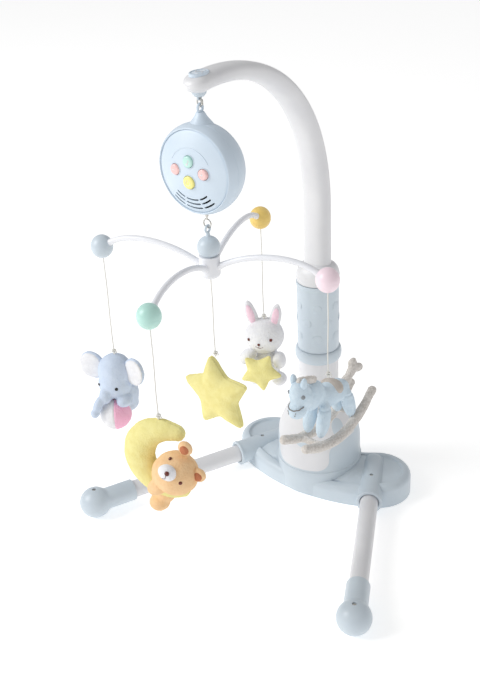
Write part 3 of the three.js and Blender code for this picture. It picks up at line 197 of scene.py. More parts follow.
def loft(rings: Sequence[Sequence[Vector]], closed: bool = False) -> Shape:
    """Joins rings of equal length into a skin.

    Args:
        rings: The rings in order.
        closed: True joins the last ring to the first, and False closes both ends with a fan.

    Returns:
        The closed shape.
    """
    count = len(rings[0])
    shape = Shape([p.copy() for ring in rings for p in ring])
    for r in range(len(rings) if closed else len(rings) - 1):
        a, b = r * count, ((r + 1) % len(rings)) * count
        for i in range(count):
            j = (i + 1) % count
            shape.faces.append((a + i, a + j, b + j, b + i))
    if not closed:
        for first, ring in ((0, rings[0]), ((len(rings) - 1) * count, rings[-1])):
            shape.points.append(sum((p for p in ring), Vector()) / count)
            middle = len(shape.points) - 1
            shape.faces += [(first + i, first + (i + 1) % count, middle) for i in range(count)]
    return shape


def sweep(path: Sequence[Vector], radius: float | Callable[[float], float], sides: int = 12,
          closed: bool = False) -> Shape:
    """Makes a round bar along a path.

    Args:
        path: The points of its middle line.
        radius: Its radius, or a function from the share of the way along to the radius.
        sides: How many sides its section has.
        closed: True for a ring.

    Returns:
        The closed shape.
    """
    rings = []
    count = len(path)
    across = None
    for i, here in enumerate(path):
        before = path[(i - 1) % count] if closed or i else here
        after = path[(i + 1) % count] if closed or i < count - 1 else here
        along = (after - before).normalized()
        if across is None:
            across = along.orthogonal().normalized()
        across = (across - along * across.dot(along)).normalized()
        up = along.cross(across)
        r = radius(i / (count - 1)) if callable(radius) else radius
        angles = [TURN * k / sides for k in range(sides)]
        rings.append([here + (across * math.cos(a) + up * math.sin(a)) * r for a in angles])
    return loft(rings, closed)


def bezier(a: Vector, b: Vector, c: Vector, d: Vector, steps: int) -> list[Vector]:
    """Returns steps + 1 points on the cubic curve with these four control points."""
    out = []
    for i in range(steps + 1):
        t = i / steps
        s = 1 - t
        out.append(a * s**3 + b * 3 * s * s * t + c * 3 * s * t * t + d * t**3)
    return out


def spline(points: Sequence[Point], steps: int = 8, closed: bool = False) -> list[Vector]:
    """Returns a smooth curve through the points.

    Args:
        points: Where the curve passes.
        steps: How many pieces lie between two points.
        closed: True for a loop.

    Returns:
        The curve's points.
    """
    p = [Vector(x) for x in points]
    count = len(p)
    out = []
    for i in range(count if closed else count - 1):
        a, b = p[i], p[(i + 1) % count]
        before = p[(i - 1) % count] if closed or i else a * 2 - b
        after = p[(i + 2) % count] if closed or i < count - 2 else b * 2 - a
        for k in range(steps):
            t = k / steps
            out.append(0.5 * (2 * a + (b - before) * t
                              + (2 * before - 5 * a + 4 * b - after) * t * t
                              + (3 * a - before - 3 * b + after) * t**3))
    if not closed:
        out.append(p[-1])
    return out


def turned_to(direction: Vector, place: Vector) -> Matrix:
    """Returns the matrix that takes Z to the direction and the origin to the place."""
    turn = Vector((0, 0, 1)).rotation_difference(direction.normalized())
    return Matrix.Translation(place) @ turn.to_matrix().to_4x4()


def raw_object(name: str, shape: Shape) -> bpy.types.Object:
    """Makes a mesh object in metres with its doubles merged and its faces outwards.

    Args:
        name: The object's name.
        shape: Its corners and faces, in millimetres.

    Returns:
        The object, linked to the scene.
    """
    mesh = bpy.data.meshes.new(name)
    mesh.from_pydata([p * MM for p in shape.points], [], shape.faces)
    work = bmesh.new()
    work.from_mesh(mesh)
    bmesh.ops.remove_doubles(work, verts=work.verts, dist=1e-6)
    bmesh.ops.recalc_face_normals(work, faces=work.faces)
    work.to_mesh(mesh)
    work.free()
    piece = bpy.data.objects.new(name, mesh)
    bpy.context.scene.collection.objects.link(piece)
    return piece


def settle(piece: bpy.types.Object) -> bpy.types.Object:
    """Applies every modifier, so that the object's mesh is what is seen, and returns it."""
    if piece.modifiers:
        graph = bpy.context.evaluated_depsgraph_get()
        graph.update()
        mesh = bpy.data.meshes.new_from_object(piece.evaluated_get(graph))
        old, piece.data = piece.data, mesh
        piece.modifiers.clear()
        mesh.name = piece.name
        bpy.data.meshes.remove(old)
    return piece


def cut(piece: bpy.types.Object, tools: Iterable[Shape], how: str = "DIFFERENCE") -> bpy.types.Object:
    """Cuts closed shapes out of an object, or keeps what lies in them.

    Args:
        piece: The object to cut.
        tools: The closed shapes, in millimetres.
        how: DIFFERENCE or INTERSECT.

    Returns:
        The object.
    """
    for shape in tools:
        tool = raw_object("cutter", shape)
        change = piece.modifiers.new("cut", "BOOLEAN")
        change.operation, change.object, change.solver = how, tool, "EXACT"
        settle(piece)
        mesh = tool.data
        bpy.data.objects.remove(tool)
        bpy.data.meshes.remove(mesh)
    return piece


def dress(piece: bpy.types.Object, body: str, finish: "Finish", stands_for: Sequence[str] = (),
          angle: float | None = SHARP_ANGLE) -> bpy.types.Object:
    """Gives a finished mesh its shading, finish and body.

    Args:
        piece: The object.
        body: The CAD body that it moves with.
        finish: What it is made of.
        stands_for: CAD nodes that it is shown in place of.
        angle: Edges sharper than this stay sharp, and None leaves every edge soft.

    Returns:
        The object.
    """
    mesh = piece.data
    mesh.polygons.foreach_set("use_smooth", [True] * len(mesh.polygons))
    if angle is not None:
        mesh.set_sharp_from_angle(angle=angle)
    mesh.materials.clear()
    mesh.materials.append(finish.material())
    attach(piece, body)
    if stands_for:
        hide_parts(*stands_for)
    log.info("%s rides on %s, %d faces", piece.name, body, len(mesh.polygons))
    return piece


def make(name: str, shape: Shape, body: str, finish: "Finish", stands_for: Sequence[str] = (),
         angle: float | None = SHARP_ANGLE) -> bpy.types.Object:
    """Makes a piece from a shape and dresses it; the arguments are those of dress."""
    return dress(raw_object(name, shape), body, finish, stands_for, angle)


# ------------------------------------------------------------------ finishes


class Texture(Enum):
    """How a surface was made."""

    MOULDED = "satin injection-moulded plastic"
    PLUSH = "short-pile plush"
    FLEECE = "looped sherpa fleece"
    CORD = "braided cord"
    METAL = "plated wire"
    GLOSS = "glossy moulded plastic"
    THREAD = "embroidery thread"


@dataclass(frozen=True)
class Finish:
    """A material: what it is, how it was made and its colours.

    Attributes:
        name: The real material and colour, which names the Blender material.
        slot: The record's material slot; not used.
        texture: How its surface was made.
        colour: Its colour, as sRGB hex.
        second: The colour that its tone varies towards, as sRGB hex: at random on plastic, plush and metal,
            and as painted shade in the grooves of cord, thread and fleece.
        roughness: Its roughness.
        metallic: 1 for a metal.
        grain: Size in millimetres of its finest texture.
    """

    name: str
    slot: str
    texture: Texture
    colour: str
    second: str
    roughness: float
    metallic: float = 0.0
    grain: float = 0.5

    def material(self) -> bpy.types.Material:
        """Returns the Blender material, which is made the first time."""
        found = bpy.data.materials.get(self.name)
        if found:
            return found
        made = bpy.data.materials.new(self.name)
        made.use_nodes = True
        tree = made.node_tree
        shader = tree.nodes["Principled BSDF"]
        shader.inputs["Metallic"].default_value = self.metallic
        where = add_node(tree, "ShaderNodeTexCoord").outputs["Object"]
        build = {
            Texture.MOULDED: self._moulded,
            Texture.GLOSS: self._moulded,
            Texture.PLUSH: self._plush,
            Texture.FLEECE: self._fleece,
            Texture.CORD: self._cord,
            Texture.METAL: self._metal,
            Texture.THREAD: self._cord,
        }[self.texture]
        build(tree, shader, where)
        return made

    def _mixed(self, tree: bpy.types.NodeTree, share: bpy.types.NodeSocket) -> bpy.types.NodeSocket:
        """Returns a colour between the finish's two, by the share."""
        mix = add_node(tree, "ShaderNodeMix", {"data_type": "RGBA"})
        tree.links.new(share, mix.inputs["Factor"])
        mix.inputs[6].default_value = linear(self.colour)
        mix.inputs[7].default_value = linear(self.second)
        return mix.outputs[2]

    def _noise(self, tree: bpy.types.NodeTree, where: bpy.types.NodeSocket, size: float,
               detail: float = 2.0) -> bpy.types.NodeSocket:
        """Returns noise whose lumps are size millimetres across."""
        found = add_node(tree, "ShaderNodeTexNoise", Vector=where, Scale=1 / (size * MM), Detail=detail)
        return found.outputs["Fac"]

    def _ramp(self, tree: bpy.types.NodeTree, value: bpy.types.NodeSocket, low: float, high: float,
              start: float = 0.3, end: float = 0.7) -> bpy.types.NodeSocket:
        """Returns the value stretched from start and end to low and high."""
        found = add_node(tree, "ShaderNodeMapRange", Value=value, From_Min=start, From_Max=end,
                         To_Min=low, To_Max=high)
        return found.outputs["Result"]

    def _bump(self, tree: bpy.types.NodeTree, shader: bpy.types.Node, height: bpy.types.NodeSocket,
              deep: float, strength: float = 1.0) -> None:
        """Puts a height of this many millimetres on the surface."""
        bump = add_node(tree, "ShaderNodeBump", Height=height, Distance=deep * MM, Strength=strength)
        tree.links.new(bump.outputs["Normal"], shader.inputs["Normal"])

    def _moulded(self, tree: bpy.types.NodeTree, shader: bpy.types.Node, where: bpy.types.NodeSocket) -> None:
        """Moulded ABS: an even colour with faint flow clouds, and the mould's fine spark grain."""
        clouds = self._noise(tree, where, 45, 3)
        tree.links.new(self._mixed(tree, self._ramp(tree, clouds, 0, 1)), shader.inputs["Base Color"])
        grain = self._noise(tree, where, self.grain, 2)
        rough = self._ramp(tree, grain, self.roughness - 0.05, self.roughness + 0.06)
        tree.links.new(rough, shader.inputs["Roughness"])
        shader.inputs["IOR"].default_value = 1.53
        shader.inputs["Subsurface Weight"].default_value = 0.06
        shader.inputs["Subsurface Radius"].default_value = (1.0, 1.0, 1.0)
        shader.inputs["Subsurface Scale"].default_value = 0.001
        self._bump(tree, shader, grain, 0.03 if self.texture is Texture.MOULDED else 0.006)

    def _plush(self, tree: bpy.types.NodeTree, shader: bpy.types.Node, where: bpy.types.NodeSocket) -> None:
        """Short plush: a soft pile that lies in patches, with a bright rim of fibre ends."""
        patches = self._noise(tree, where, 9, 3)
        fibres = self._noise(tree, where, self.grain, 3)
        both = add_node(tree, "ShaderNodeMath", {"operation": "MULTIPLY_ADD"}, i0=fibres, i1=0.55,
                        i2=self._ramp(tree, patches, 0, 0.45)).outputs[0]
        tree.links.new(self._mixed(tree, self._ramp(tree, both, 0, 1, 0.15, 0.85)),
                       shader.inputs["Base Color"])
        shader.inputs["Roughness"].default_value = self.roughness
        shader.inputs["Specular IOR Level"].default_value = 0.15
        shader.inputs["Sheen Weight"].default_value = 0.35
        shader.inputs["Sheen Roughness"].default_value = 0.5
        shader.inputs["Sheen Tint"].default_value = linear(self.colour)
        self._bump(tree, shader, both, 0.55, 0.8)

    def _fleece(self, tree: bpy.types.NodeTree, shader: bpy.types.Node, where: bpy.types.NodeSocket) -> None:
        """Sherpa fleece: tight curls of looped yarn, with painted shade in the hollows between them."""
        warp = self._noise(tree, where, 5, 2)
        bent = add_node(tree, "ShaderNodeMix", {"data_type": "VECTOR"})
        bent.inputs["Factor"].default_value = 0.002
        tree.links.new(where, bent.inputs[4])
        tree.links.new(warp, bent.inputs[5])
        curls = add_node(tree, "ShaderNodeTexVoronoi", {"feature": "SMOOTH_F1"},
                         Vector=bent.outputs[1], Scale=1 / (self.grain * MM)).outputs["Distance"]
        # Painted shade: the colour runs to the darker second colour away from each curl's middle, in the
        # hollows between loops.
        tree.links.new(self._mixed(tree, self._ramp(tree, curls, 0, 1, 0.15, 0.75)),
                       shader.inputs["Base Color"])
        shader.inputs["Roughness"].default_value = self.roughness
        shader.inputs["Specular IOR Level"].default_value = 0.12
        shader.inputs["Sheen Weight"].default_value = 0.3
        height = self._ramp(tree, curls, 1, 0, 0, 0.9)
        self._bump(tree, shader, height, 0.9, 0.7)

    def _cord(self, tree: bpy.types.NodeTree, shader: bpy.types.Node, where: bpy.types.NodeSocket) -> None:
        """Braided polyester: fine slanting strands, with painted shade in the grooves between them."""
        wave = add_node(tree, "ShaderNodeTexWave", {"bands_direction": "DIAGONAL"}, Vector=where,
                        Scale=0.3 / (self.grain * MM), Distortion=1.5, Detail=1.0).outputs["Fac"]
        # Painted shade: the colour runs to the darker second colour where the strands dip into a groove.
        tree.links.new(self._mixed(tree, self._ramp(tree, wave, 1, 0, 0, 1)),
                       shader.inputs["Base Color"])
        shader.inputs["Roughness"].default_value = self.roughness
        shader.inputs["Sheen Weight"].default_value = 0.2
        self._bump(tree, shader, wave, 0.12)

    def _metal(self, tree: bpy.types.NodeTree, shader: bpy.types.Node, where: bpy.types.NodeSocket) -> None:
        """Plated steel wire: bright, with faint drawing lines and dulled patches."""
        patches = self._noise(tree, where, 3, 3)
        tree.links.new(self._mixed(tree, self._ramp(tree, patches, 0, 1)), shader.inputs["Base Color"])
        rough = self._ramp(tree, self._noise(tree, where, self.grain, 2), self.roughness - 0.06,
                           self.roughness + 0.1)
        tree.links.new(rough, shader.inputs["Roughness"])


def moulded(name: str, slot: str, colour: str, second: str, roughness: float = 0.36) -> Finish:
    """Returns the finish of a satin moulded ABS piece."""
    return Finish(name, slot, Texture.MOULDED, colour, second, roughness, grain=0.6)


def plush(name: str, slot: str, colour: str, second: str) -> Finish:
    """Returns the finish of a short-pile plush cover; its 0.3 mm fibres are drawn 0.9 mm wide."""
    return Finish(name, slot, Texture.PLUSH, colour, second, 0.92, grain=0.9)


# Satin ABS: an even pastel with a soft highlight and almost no visible texture.
BLUE = moulded("pastel blue ABS", "blue_plastic", "cbd6de", "c5d0d9")
BOX_BLUE = moulded("pale blue ABS of the music box", "blue_plastic", "cfdce8", "c9d7e4", 0.4)
WHITE = moulded("warm white ABS", "white_plastic", "e2e2e4", "dcdcdf")
GLOSS_WHITE = moulded("white ABS of the hanger", "white_plastic", "ecedf1", "e6e7ec", 0.32)
MINT = moulded("mint ABS", "mint_plastic", "bfe6dd", "b6dfd5", 0.34)
PINK = moulded("pale pink ABS", "pink_plastic", "f8e4ec", "f4dde6", 0.34)
CORAL = moulded("coral pink ABS of the buttons", "pink_plastic", "f4c9c6", "efc1be", 0.24)
YELLOW = moulded("warm yellow ABS", "yellow_plastic", "efcf78", "e8c76e", 0.34)
LEMON = moulded("lemon ABS of the power button", "yellow_plastic", "f5ec92", "f0e68a", 0.26)
ICON = moulded("pad-printed white ink", "white_plastic", "f7f2cf", "f2edc8", 0.5)
DARK = moulded("black ABS", "black_plastic", "2b2d31", "232529", 0.55)
# Solder mask over glass fibre: an even green with the weave just showing.
BOARD = moulded("green solder mask", "board", "2f6b45", "285f3c", 0.5)
# Bright nickel plate: grey-white with sharp highlights, dulled where the wire was bent.
STEEL = Finish("nickel-plated steel wire", "steel", Texture.METAL, "cfcdc8", "b9b6b0", 0.22, 1.0, 0.3)
CAN = Finish("nickel-plated battery can", "cell", Texture.METAL, "9a9ea3", "8a8e93", 0.3, 1.0, 0.4)
# Braided polyester cord: matt white with a slant of fine strands; its darker second colour is painted shade
# in the grooves.
CORD = Finish("white braided polyester cord", "string", Texture.CORD, "f3f2ee", "d9d7d0", 0.8, grain=0.7)
# Short-pile polyester plush: soft, matt, with a light rim and patches where the pile is stroked.
BLUE_PLUSH = plush("powder blue plush", "blue_plush", "d3deee", "c6d3e6")
ICE_PLUSH = plush("ice blue plush", "blue_plush", "d9e7f1", "c6d8e5")
TAN_PLUSH = plush("apricot plush", "tan_plush", "f5d2a6", "ecc190")
RUST_PLUSH = plush("russet plush of the ears", "tan_plush", "c8805f", "b4704f")
WHITE_PLUSH = plush("white plush", "white_plush", "f3f3f5", "e6e6ea")
LEMON_PLUSH = plush("lemon plush", "yellow_plush", "f0e8a6", "e6db90")
PINK_PLUSH = plush("candy pink plush", "pink_plush", "fac4dc", "f3b3cf")
ROSE_PLUSH = plush("pale pink satin of the ears", "pink_plush", "fde0ec", "f6d0df")
STONE_PLUSH = plush("stone beige plush", "sherpa", "cdc6bf", "b4aca4")
# Sherpa fleece: curls of looped yarn about 3 mm across; its darker second colour is painted shade between the
# curls.
SHERPA = Finish("beige sherpa fleece", "sherpa", Texture.FLEECE, "e2ddd8", "c9c3bc", 0.95, grain=2.4)
# Embroidery thread: a dull silk shine along the stitches; each darker second colour is painted shade in the
# grooves of the twist.
BROWN_THREAD = Finish("russet embroidery thread", "tan_plush", Texture.THREAD, "7a3a2a", "5c281c", 0.5,
                      grain=0.6)
GREY_THREAD = Finish("grey embroidery thread", "sherpa", Texture.THREAD, "8f8c8a", "77736f", 0.5, grain=0.6)
GOLD_THREAD = Finish("straw sewing thread", "yellow_plush", Texture.THREAD, "d9c763", "c2b04f", 0.5,
                     grain=0.6)
# Glossy black safety eye: a dark bead with one sharp highlight.
EYE = Finish("black acrylic eye", "black_plastic", Texture.GLOSS, "141416", "1b1b1e", 0.12, grain=0.6)
BROWN_EYE = Finish("russet acrylic eye", "black_plastic", Texture.GLOSS, "6b2a1e", "5c2218", 0.15, grain=0.6)
GREY_EYE = Finish("grey acrylic eye", "black_plastic", Texture.GLOSS, "8e9296", "84888c", 0.2, grain=0.6)
CARRIED = {
    "blue_plastic": BLUE, "white_plastic": WHITE, "mint_plastic": MINT, "pink_plastic": PINK,
    "yellow_plastic": YELLOW, "steel": STEEL, "board": BOARD, "black_plastic": DARK, "cell": CAN,
    "string": CORD, "blue_plush": BLUE_PLUSH, "tan_plush": TAN_PLUSH, "white_plush": WHITE_PLUSH,
    "yellow_plush": LEMON_PLUSH, "pink_plush": PINK_PLUSH, "sherpa": SHERPA,
}


# ------------------------------------------------------------------ repeated details


class Pattern:
    """A Geometry Nodes tree that places copies of a small part, and turns them into a mesh."""

    def __init__(self, name: str, inputs: dict[str, tuple[str, float]]) -> None:
        """Starts the tree.

        Args:
            name: The tree's name.
            inputs: The tree's own inputs: name to socket type and value.
        """
        self.tree = bpy.data.node_groups.new(name, "GeometryNodeTree")
        face = self.tree.interface
        face.new_socket("Geometry", in_out="INPUT", socket_type="NodeSocketGeometry")
        self.sockets = {}
        self.values = {}
        for label, (kind, value) in inputs.items():
            made = face.new_socket(label, in_out="INPUT", socket_type=kind)
            self.sockets[label] = made.identifier
            self.values[label] = value
        face.new_socket("Geometry", in_out="OUTPUT", socket_type="NodeSocketGeometry")
        self.start = self.tree.nodes.new("NodeGroupInput")

    def node(self, kind: str, settings: dict | None = None, **sockets) -> bpy.types.Node:
        """Adds a node to the tree, as add_node does."""
        return add_node(self.tree, kind, settings, **sockets)

    def math(self, operation: str, a: object, b: object = 0.0) -> bpy.types.NodeSocket:
        """Returns the result of a Math node on a and b."""
        return self.node("ShaderNodeMath", {"operation": operation}, i0=a, i1=b).outputs[0]

    def mesh(self, name: str, geometry: bpy.types.NodeSocket, finish: Finish,
             base: bpy.types.Object | None = None) -> bpy.types.Object:
        """Ends the tree with its material and turns the result into a plain mesh object.

        Args:
            name: The object's name.
            geometry: The instances to realize.
            finish: Their finish.
            base: The object that the tree works on, or None for an empty mesh.

        Returns:
            The mesh object.
        """
        real = self.node("GeometryNodeRealizeInstances", Geometry=geometry).outputs[0]
        dressed = self.node("GeometryNodeSetMaterial", Geometry=real, Material=finish.material())
        out = self.tree.nodes.new("NodeGroupOutput")
        self.tree.links.new(dressed.outputs[0], out.inputs[0])
        holder = base or bpy.data.objects.new(name + "_base", bpy.data.meshes.new(name))
        if base is None:
            bpy.context.scene.collection.objects.link(holder)
        change = holder.modifiers.new("pattern", "NODES")
        change.node_group = self.tree
        for label, identifier in self.sockets.items():
            change[identifier] = self.values[label]
        graph = bpy.context.evaluated_depsgraph_get()
        graph.update()
        mesh = bpy.data.meshes.new_from_object(holder.evaluated_get(graph))
        mesh.name = name
        data = holder.data
        bpy.data.objects.remove(holder)
        (bpy.data.curves if isinstance(data, bpy.types.Curve) else bpy.data.meshes).remove(data)
        piece = bpy.data.objects.new(name, mesh)
        bpy.context.scene.collection.objects.link(piece)
        return piece


def spots(name: str, radius: float, spot: float, rows: int, per_row: int, first: float, gap: float,
          proud: float, finish: Finish, body: str) -> bpy.types.Object:
    """Raised round spots in staggered rows round an upright tube.

    Args:
        name: The object's name.
        radius: The tube's radius.
        spot: A spot's radius.
        rows: How many rows.
        per_row: How many spots in a row.
        first: Height of the lowest row.
        gap: Height from one row to the next.
        proud: How far a spot stands out.
        finish: Their finish.
        body: The body that they move with.

    Returns:
        The mesh object.
    """
    value = "NodeSocketFloat"
    tree = Pattern(name, {
        "Tube radius": (value, radius * MM), "Spot radius": (value, spot * MM),
        "Proud": (value, proud * MM), "First height": (value, first * MM),
        "Row gap": (value, gap * MM), "Per row": (value, float(per_row)),
        "Rows": (value, float(rows)),
    })
    start = tree.start.outputs
    count = tree.math("MULTIPLY", start["Per row"], start["Rows"])
    line = tree.node("GeometryNodeMeshLine", Count=count, Offset=(0, 0, 0))
    index = tree.node("GeometryNodeInputIndex").outputs[0]
    row = tree.math("FLOOR", tree.math("DIVIDE", index, start["Per row"]))
    odd = tree.math("MODULO", row, 2.0)
    step = tree.math("DIVIDE", TURN, start["Per row"])
    half = tree.math("MULTIPLY", tree.math("MULTIPLY", odd, 0.5), step)
    angle = tree.math("ADD", tree.math("MULTIPLY", index, step), half)
    height = tree.math("ADD", start["First height"], tree.math("MULTIPLY", row, start["Row gap"]))
    x = tree.math("MULTIPLY", start["Tube radius"], tree.math("COSINE", angle))
    y = tree.math("MULTIPLY", start["Tube radius"], tree.math("SINE", angle))
    place = tree.node("ShaderNodeCombineXYZ", X=x, Y=y, Z=height).outputs[0]
    set_place = tree.node("GeometryNodeSetPosition", Geometry=line.outputs[0], Position=place)
    ball = tree.node("GeometryNodeMeshUVSphere", Segments=24, Rings=12, Radius=1.0)
    turn = tree.node("ShaderNodeCombineXYZ", Z=angle).outputs[0]
    size = tree.node("ShaderNodeCombineXYZ", X=start["Proud"], Y=start["Spot radius"],
                     Z=start["Spot radius"]).outputs[0]
    copies = tree.node("GeometryNodeInstanceOnPoints", Points=set_place.outputs[0],
                       Instance=ball.outputs[0], Rotation=turn, Scale=size)
    return dress(tree.mesh(name, copies.outputs[0], finish), body, finish)


def stitches(name: str, path: Sequence[Vector], length: float, gap: float, thick: float,
             finish: Finish, body: str) -> bpy.types.Object:
    """A row of short stitches along a path.

    Args:
        name: The object's name.
        path: The seam's points, in millimetres.
        length: A stitch's length.
        gap: From the start of one stitch to the start of the next.
        thick: The thread's radius.
        finish: The thread.
        body: The body that the seam moves with.

    Returns:
        The mesh object.
    """
    curve = bpy.data.curves.new(name + "_line", "CURVE")
    curve.dimensions = "3D"
    run = curve.splines.new("POLY")
    run.points.add(len(path) - 1)
    for point, at in zip(run.points, path):
        point.co = (*(at * MM), 1)
    holder = bpy.data.objects.new(name + "_line", curve)
    bpy.context.scene.collection.objects.link(holder)
    value = "NodeSocketFloat"
    tree = Pattern(name, {"Gap": (value, gap * MM), "Stitch length": (value, length * MM),
                          "Thread radius": (value, thick * MM)})
    start = tree.start.outputs
    points = tree.node("GeometryNodeCurveToPoints", {"mode": "LENGTH"}, Curve=start["Geometry"],
                       Length=start["Gap"])
    ball = tree.node("GeometryNodeMeshUVSphere", Segments=8, Rings=6, Radius=1.0)
    half = tree.math("MULTIPLY", start["Stitch length"], 0.5)
    size = tree.node("ShaderNodeCombineXYZ", X=start["Thread radius"], Y=start["Thread radius"],
                     Z=half).outputs[0]
    copies = tree.node("GeometryNodeInstanceOnPoints", Points=points.outputs[0],
                       Instance=ball.outputs[0], Rotation=points.outputs["Rotation"], Scale=size)
    return dress(tree.mesh(name, copies.outputs[0], finish, holder), body, finish)


# ------------------------------------------------------------------ studio


@dataclass
class Studio:
    """The camera, a pale floor and soft daylight-white lamps."""

    position: Point = (806.01, -1260.98, 1064.33)
    azimuth: float = 37.37
    elevation: float = 28.41
    roll: float = -2.83
    focal_share: float = 1065.53 / 686
    sensor: float = 36.0
    floor_size: float = 30000.0
    key_power: float = 78.0
    fill_power: float = 2.0
    world_strength: float = 0.52

    def camera(self) -> None:
        """Makes the camera and gives it to the scene."""
        data = bpy.data.cameras.new("camera")
        data.sensor_width = self.sensor
        data.lens = self.focal_share * self.sensor
        data.clip_start, data.clip_end = 0.05, 60.0
        holder = bpy.data.objects.new("camera", data)
        bpy.context.scene.collection.objects.link(holder)
        a, e, r = (math.radians(x) for x in (self.azimuth, self.elevation, self.roll))
        back = Vector((math.sin(a) * math.cos(e), -math.cos(a) * math.cos(e), math.sin(e)))
        right = (-back).cross(Vector((0, 0, 1))).normalized()
        up = right.cross(-back)
        x = up * math.sin(r) + right * math.cos(r)
        y = up * math.cos(r) - right * math.sin(r)
        turn = Matrix((x, y, back)).transposed().to_4x4()
        holder.matrix_world = Matrix.Translation(Vector(self.position) * MM) @ turn
        bpy.context.scene.camera = holder

    def lamp(self, name: str, place: Point, power: float, size: float) -> None:
        """Adds a square soft lamp that faces the middle of the object."""
        data = bpy.data.lights.new(name, "AREA")
        data.energy, data.size = power, size
        holder = bpy.data.objects.new(name, data)
        bpy.context.scene.collection.objects.link(holder)
        at = Vector(place)
        aim = (Vector((0, -0.15, 0.35)) - at).normalized()
        holder.matrix_world = Matrix.Translation(at) @ aim.to_track_quat("-Z", "Y").to_matrix().to_4x4()

    def build(self) -> None:
        """Makes the camera, the floor, the lamps and the white surroundings."""
        self.camera()
        scene = bpy.context.scene
        scene.view_settings.view_transform = "Standard"
        scene.view_settings.look = "None"
        world = bpy.data.worlds.new("white studio")
        world.use_nodes = True
        sky = world.node_tree.nodes["Background"]
        sky.inputs["Color"].default_value = (1, 1, 1, 1)
        sky.inputs["Strength"].default_value = self.world_strength
        scene.world = world
        self.lamp("key", (-2.2, -2.4, 2.4), self.key_power, 1.8)
        self.lamp("fill", (2.4, -1.2, 1.2), self.fill_power, 2.2)
        half = self.floor_size / 2
        corners = [Vector((x * half, y * half, 0)) for x, y in ((-1, -1), (1, -1), (1, 1), (-1, 1))]
        floor = raw_object("floor", Shape(corners, [(0, 1, 2, 3)]))
        paper = bpy.data.materials.new("white paper backdrop")
        paper.use_nodes = True
        shader = paper.node_tree.nodes["Principled BSDF"]
        shader.inputs["Base Color"].default_value = linear("fbfbfb")
        shader.inputs["Roughness"].default_value = 0.9
        shader.inputs["Emission Color"].default_value = (1, 1, 1, 1)
        shader.inputs["Emission Strength"].default_value = 0.4
        floor.data.materials.append(paper)


# ------------------------------------------------------------------ strings


@dataclass
class Hanging:
    """Where one toy hangs: its string and the frame of its own local sizes.

    Attributes:
        toy: The toy's name.
        place: The string's (x, y).
        anchor: Height of the surface that the string leaves.
        length: The string's length.
        facing: Turn of the toy about its string, in degrees.
    """

    toy: str
    place: tuple[float, float]
    anchor: float
    length: float
    facing: float
    gap: float = 0.3
    diameter: float = 1.8
    points: int = 15
    sway: float = 0.6

    @property
    def body(self) -> str:
        """The CAD body that the string and the toy ride on."""
        return f"{self.toy}_toy"

    @property
    def top(self) -> float:
        """Height of the toy's top, where the string is sewn in."""
        return self.anchor - 2 * self.gap - self.length

    @property
    def local(self) -> Matrix:
        """The matrix from the toy's own sizes to the frame, in millimetres."""
        at = Matrix.Translation((*self.place, self.top))
        return at @ Matrix.Rotation(math.radians(self.facing), 4, "Z")

    def route(self) -> list[Vector]:
        """Returns the string's middle line from its anchor down to the toy."""
        out = []
        start, end = self.anchor - self.gap, self.top + self.gap
        for i in range(self.points):
            t = i / (self.points - 1)
            side = self.sway * math.sin(TURN * t) * math.sin(math.pi * t)
            out.append(Vector((self.place[0] + side, self.place[1], lerp(start, end, t))))
        return out

    def knot(self) -> bpy.types.Object:
        """Ties the small overhand knot, with its loose tail, just above the toy."""
        r = self.diameter * 0.8
        z = self.top + 5.2
        x, y = self.place
        loops = []
        for i in range(40):
            a = TURN * i / 40
            loops.append(Vector((x + (2.1 + 0.9 * math.cos(3 * a)) * math.cos(2 * a),
                                 y + (2.1 + 0.9 * math.cos(3 * a)) * math.sin(2 * a),
                                 z + 1.5 * math.sin(3 * a))))
        shape = sweep(loops, r * 0.72, 8, closed=True)
        tail = spline([(x + 1.5, y, z + 0.5), (x + 4.2, y - 1.5, z + 2.2), (x + 6, y - 1.2, z - 0.6),
                       (x + 4.2, y - 0.4, z - 2.6)], 5)
        shape.add(sweep(tail, r * 0.6, 8))
        loop = spline([(x - 1.4, y, z), (x - 1.2, y, z - 3.2), (x, y, z - 5.8), (x + 1.2, y, z - 3.2),
                       (x + 1.4, y, z)], 5)
        shape.add(sweep(loop, r * 0.6, 8))
        return make(f"knot_{self.toy}", shape, self.body, CORD)

    def build(self) -> None:
        name = f"cord_{self.toy}"
        curve = bpy.data.curves.new(name, "CURVE")
        curve.dimensions = "3D"
        curve.bevel_depth = self.diameter / 2 * MM
        curve.bevel_resolution = 3
        curve.use_fill_caps = True
        run = curve.splines.new("POLY")
        route = self.route()
        run.points.add(len(route) - 1)
        for point, at in zip(run.points, route):
            point.co = (*(at * MM), 1)
        run.use_smooth = True
        string = bpy.data.objects.new(name, curve)
        bpy.context.scene.collection.objects.link(string)
        curve.materials.append(CORD.material())
        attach(string, self.body)
        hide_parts(f"string_{self.toy}")
        knot = self.knot()
        log.info("%s hangs %.1f mm", name, self.length)


REACH = 262.5
BALL_SWING = 165.0
BALL_Z = 493.0
BALL_BOTTOM = BALL_Z - 15.6 * 1.06
HUB_BOTTOM = 470.0


def ball_place(quarter: int) -> tuple[float, float]:
    """Returns the (x, y) of the ball at the end of this arm of the hanger."""
    a = math.radians(11.36 + 90 * quarter)
    return (BALL_SWING * math.cos(a), BALL_SWING * math.sin(a) - REACH)


HANGINGS = {
    "elephant": Hanging("elephant", ball_place(2), BALL_BOTTOM, 151.9, 8),
    "bear": Hanging("bear", ball_place(3), BALL_BOTTOM, 127.9, 12),
    "rabbit": Hanging("rabbit", ball_place(1), BALL_BOTTOM, 145.9, 27),
    "horse": Hanging("horse", ball_place(0), BALL_BOTTOM, 123.9, -5),
    "star": Hanging("star", (0.0, -REACH), HUB_BOTTOM, 117.4, -3),
}


# ------------------------------------------------------------------ stand


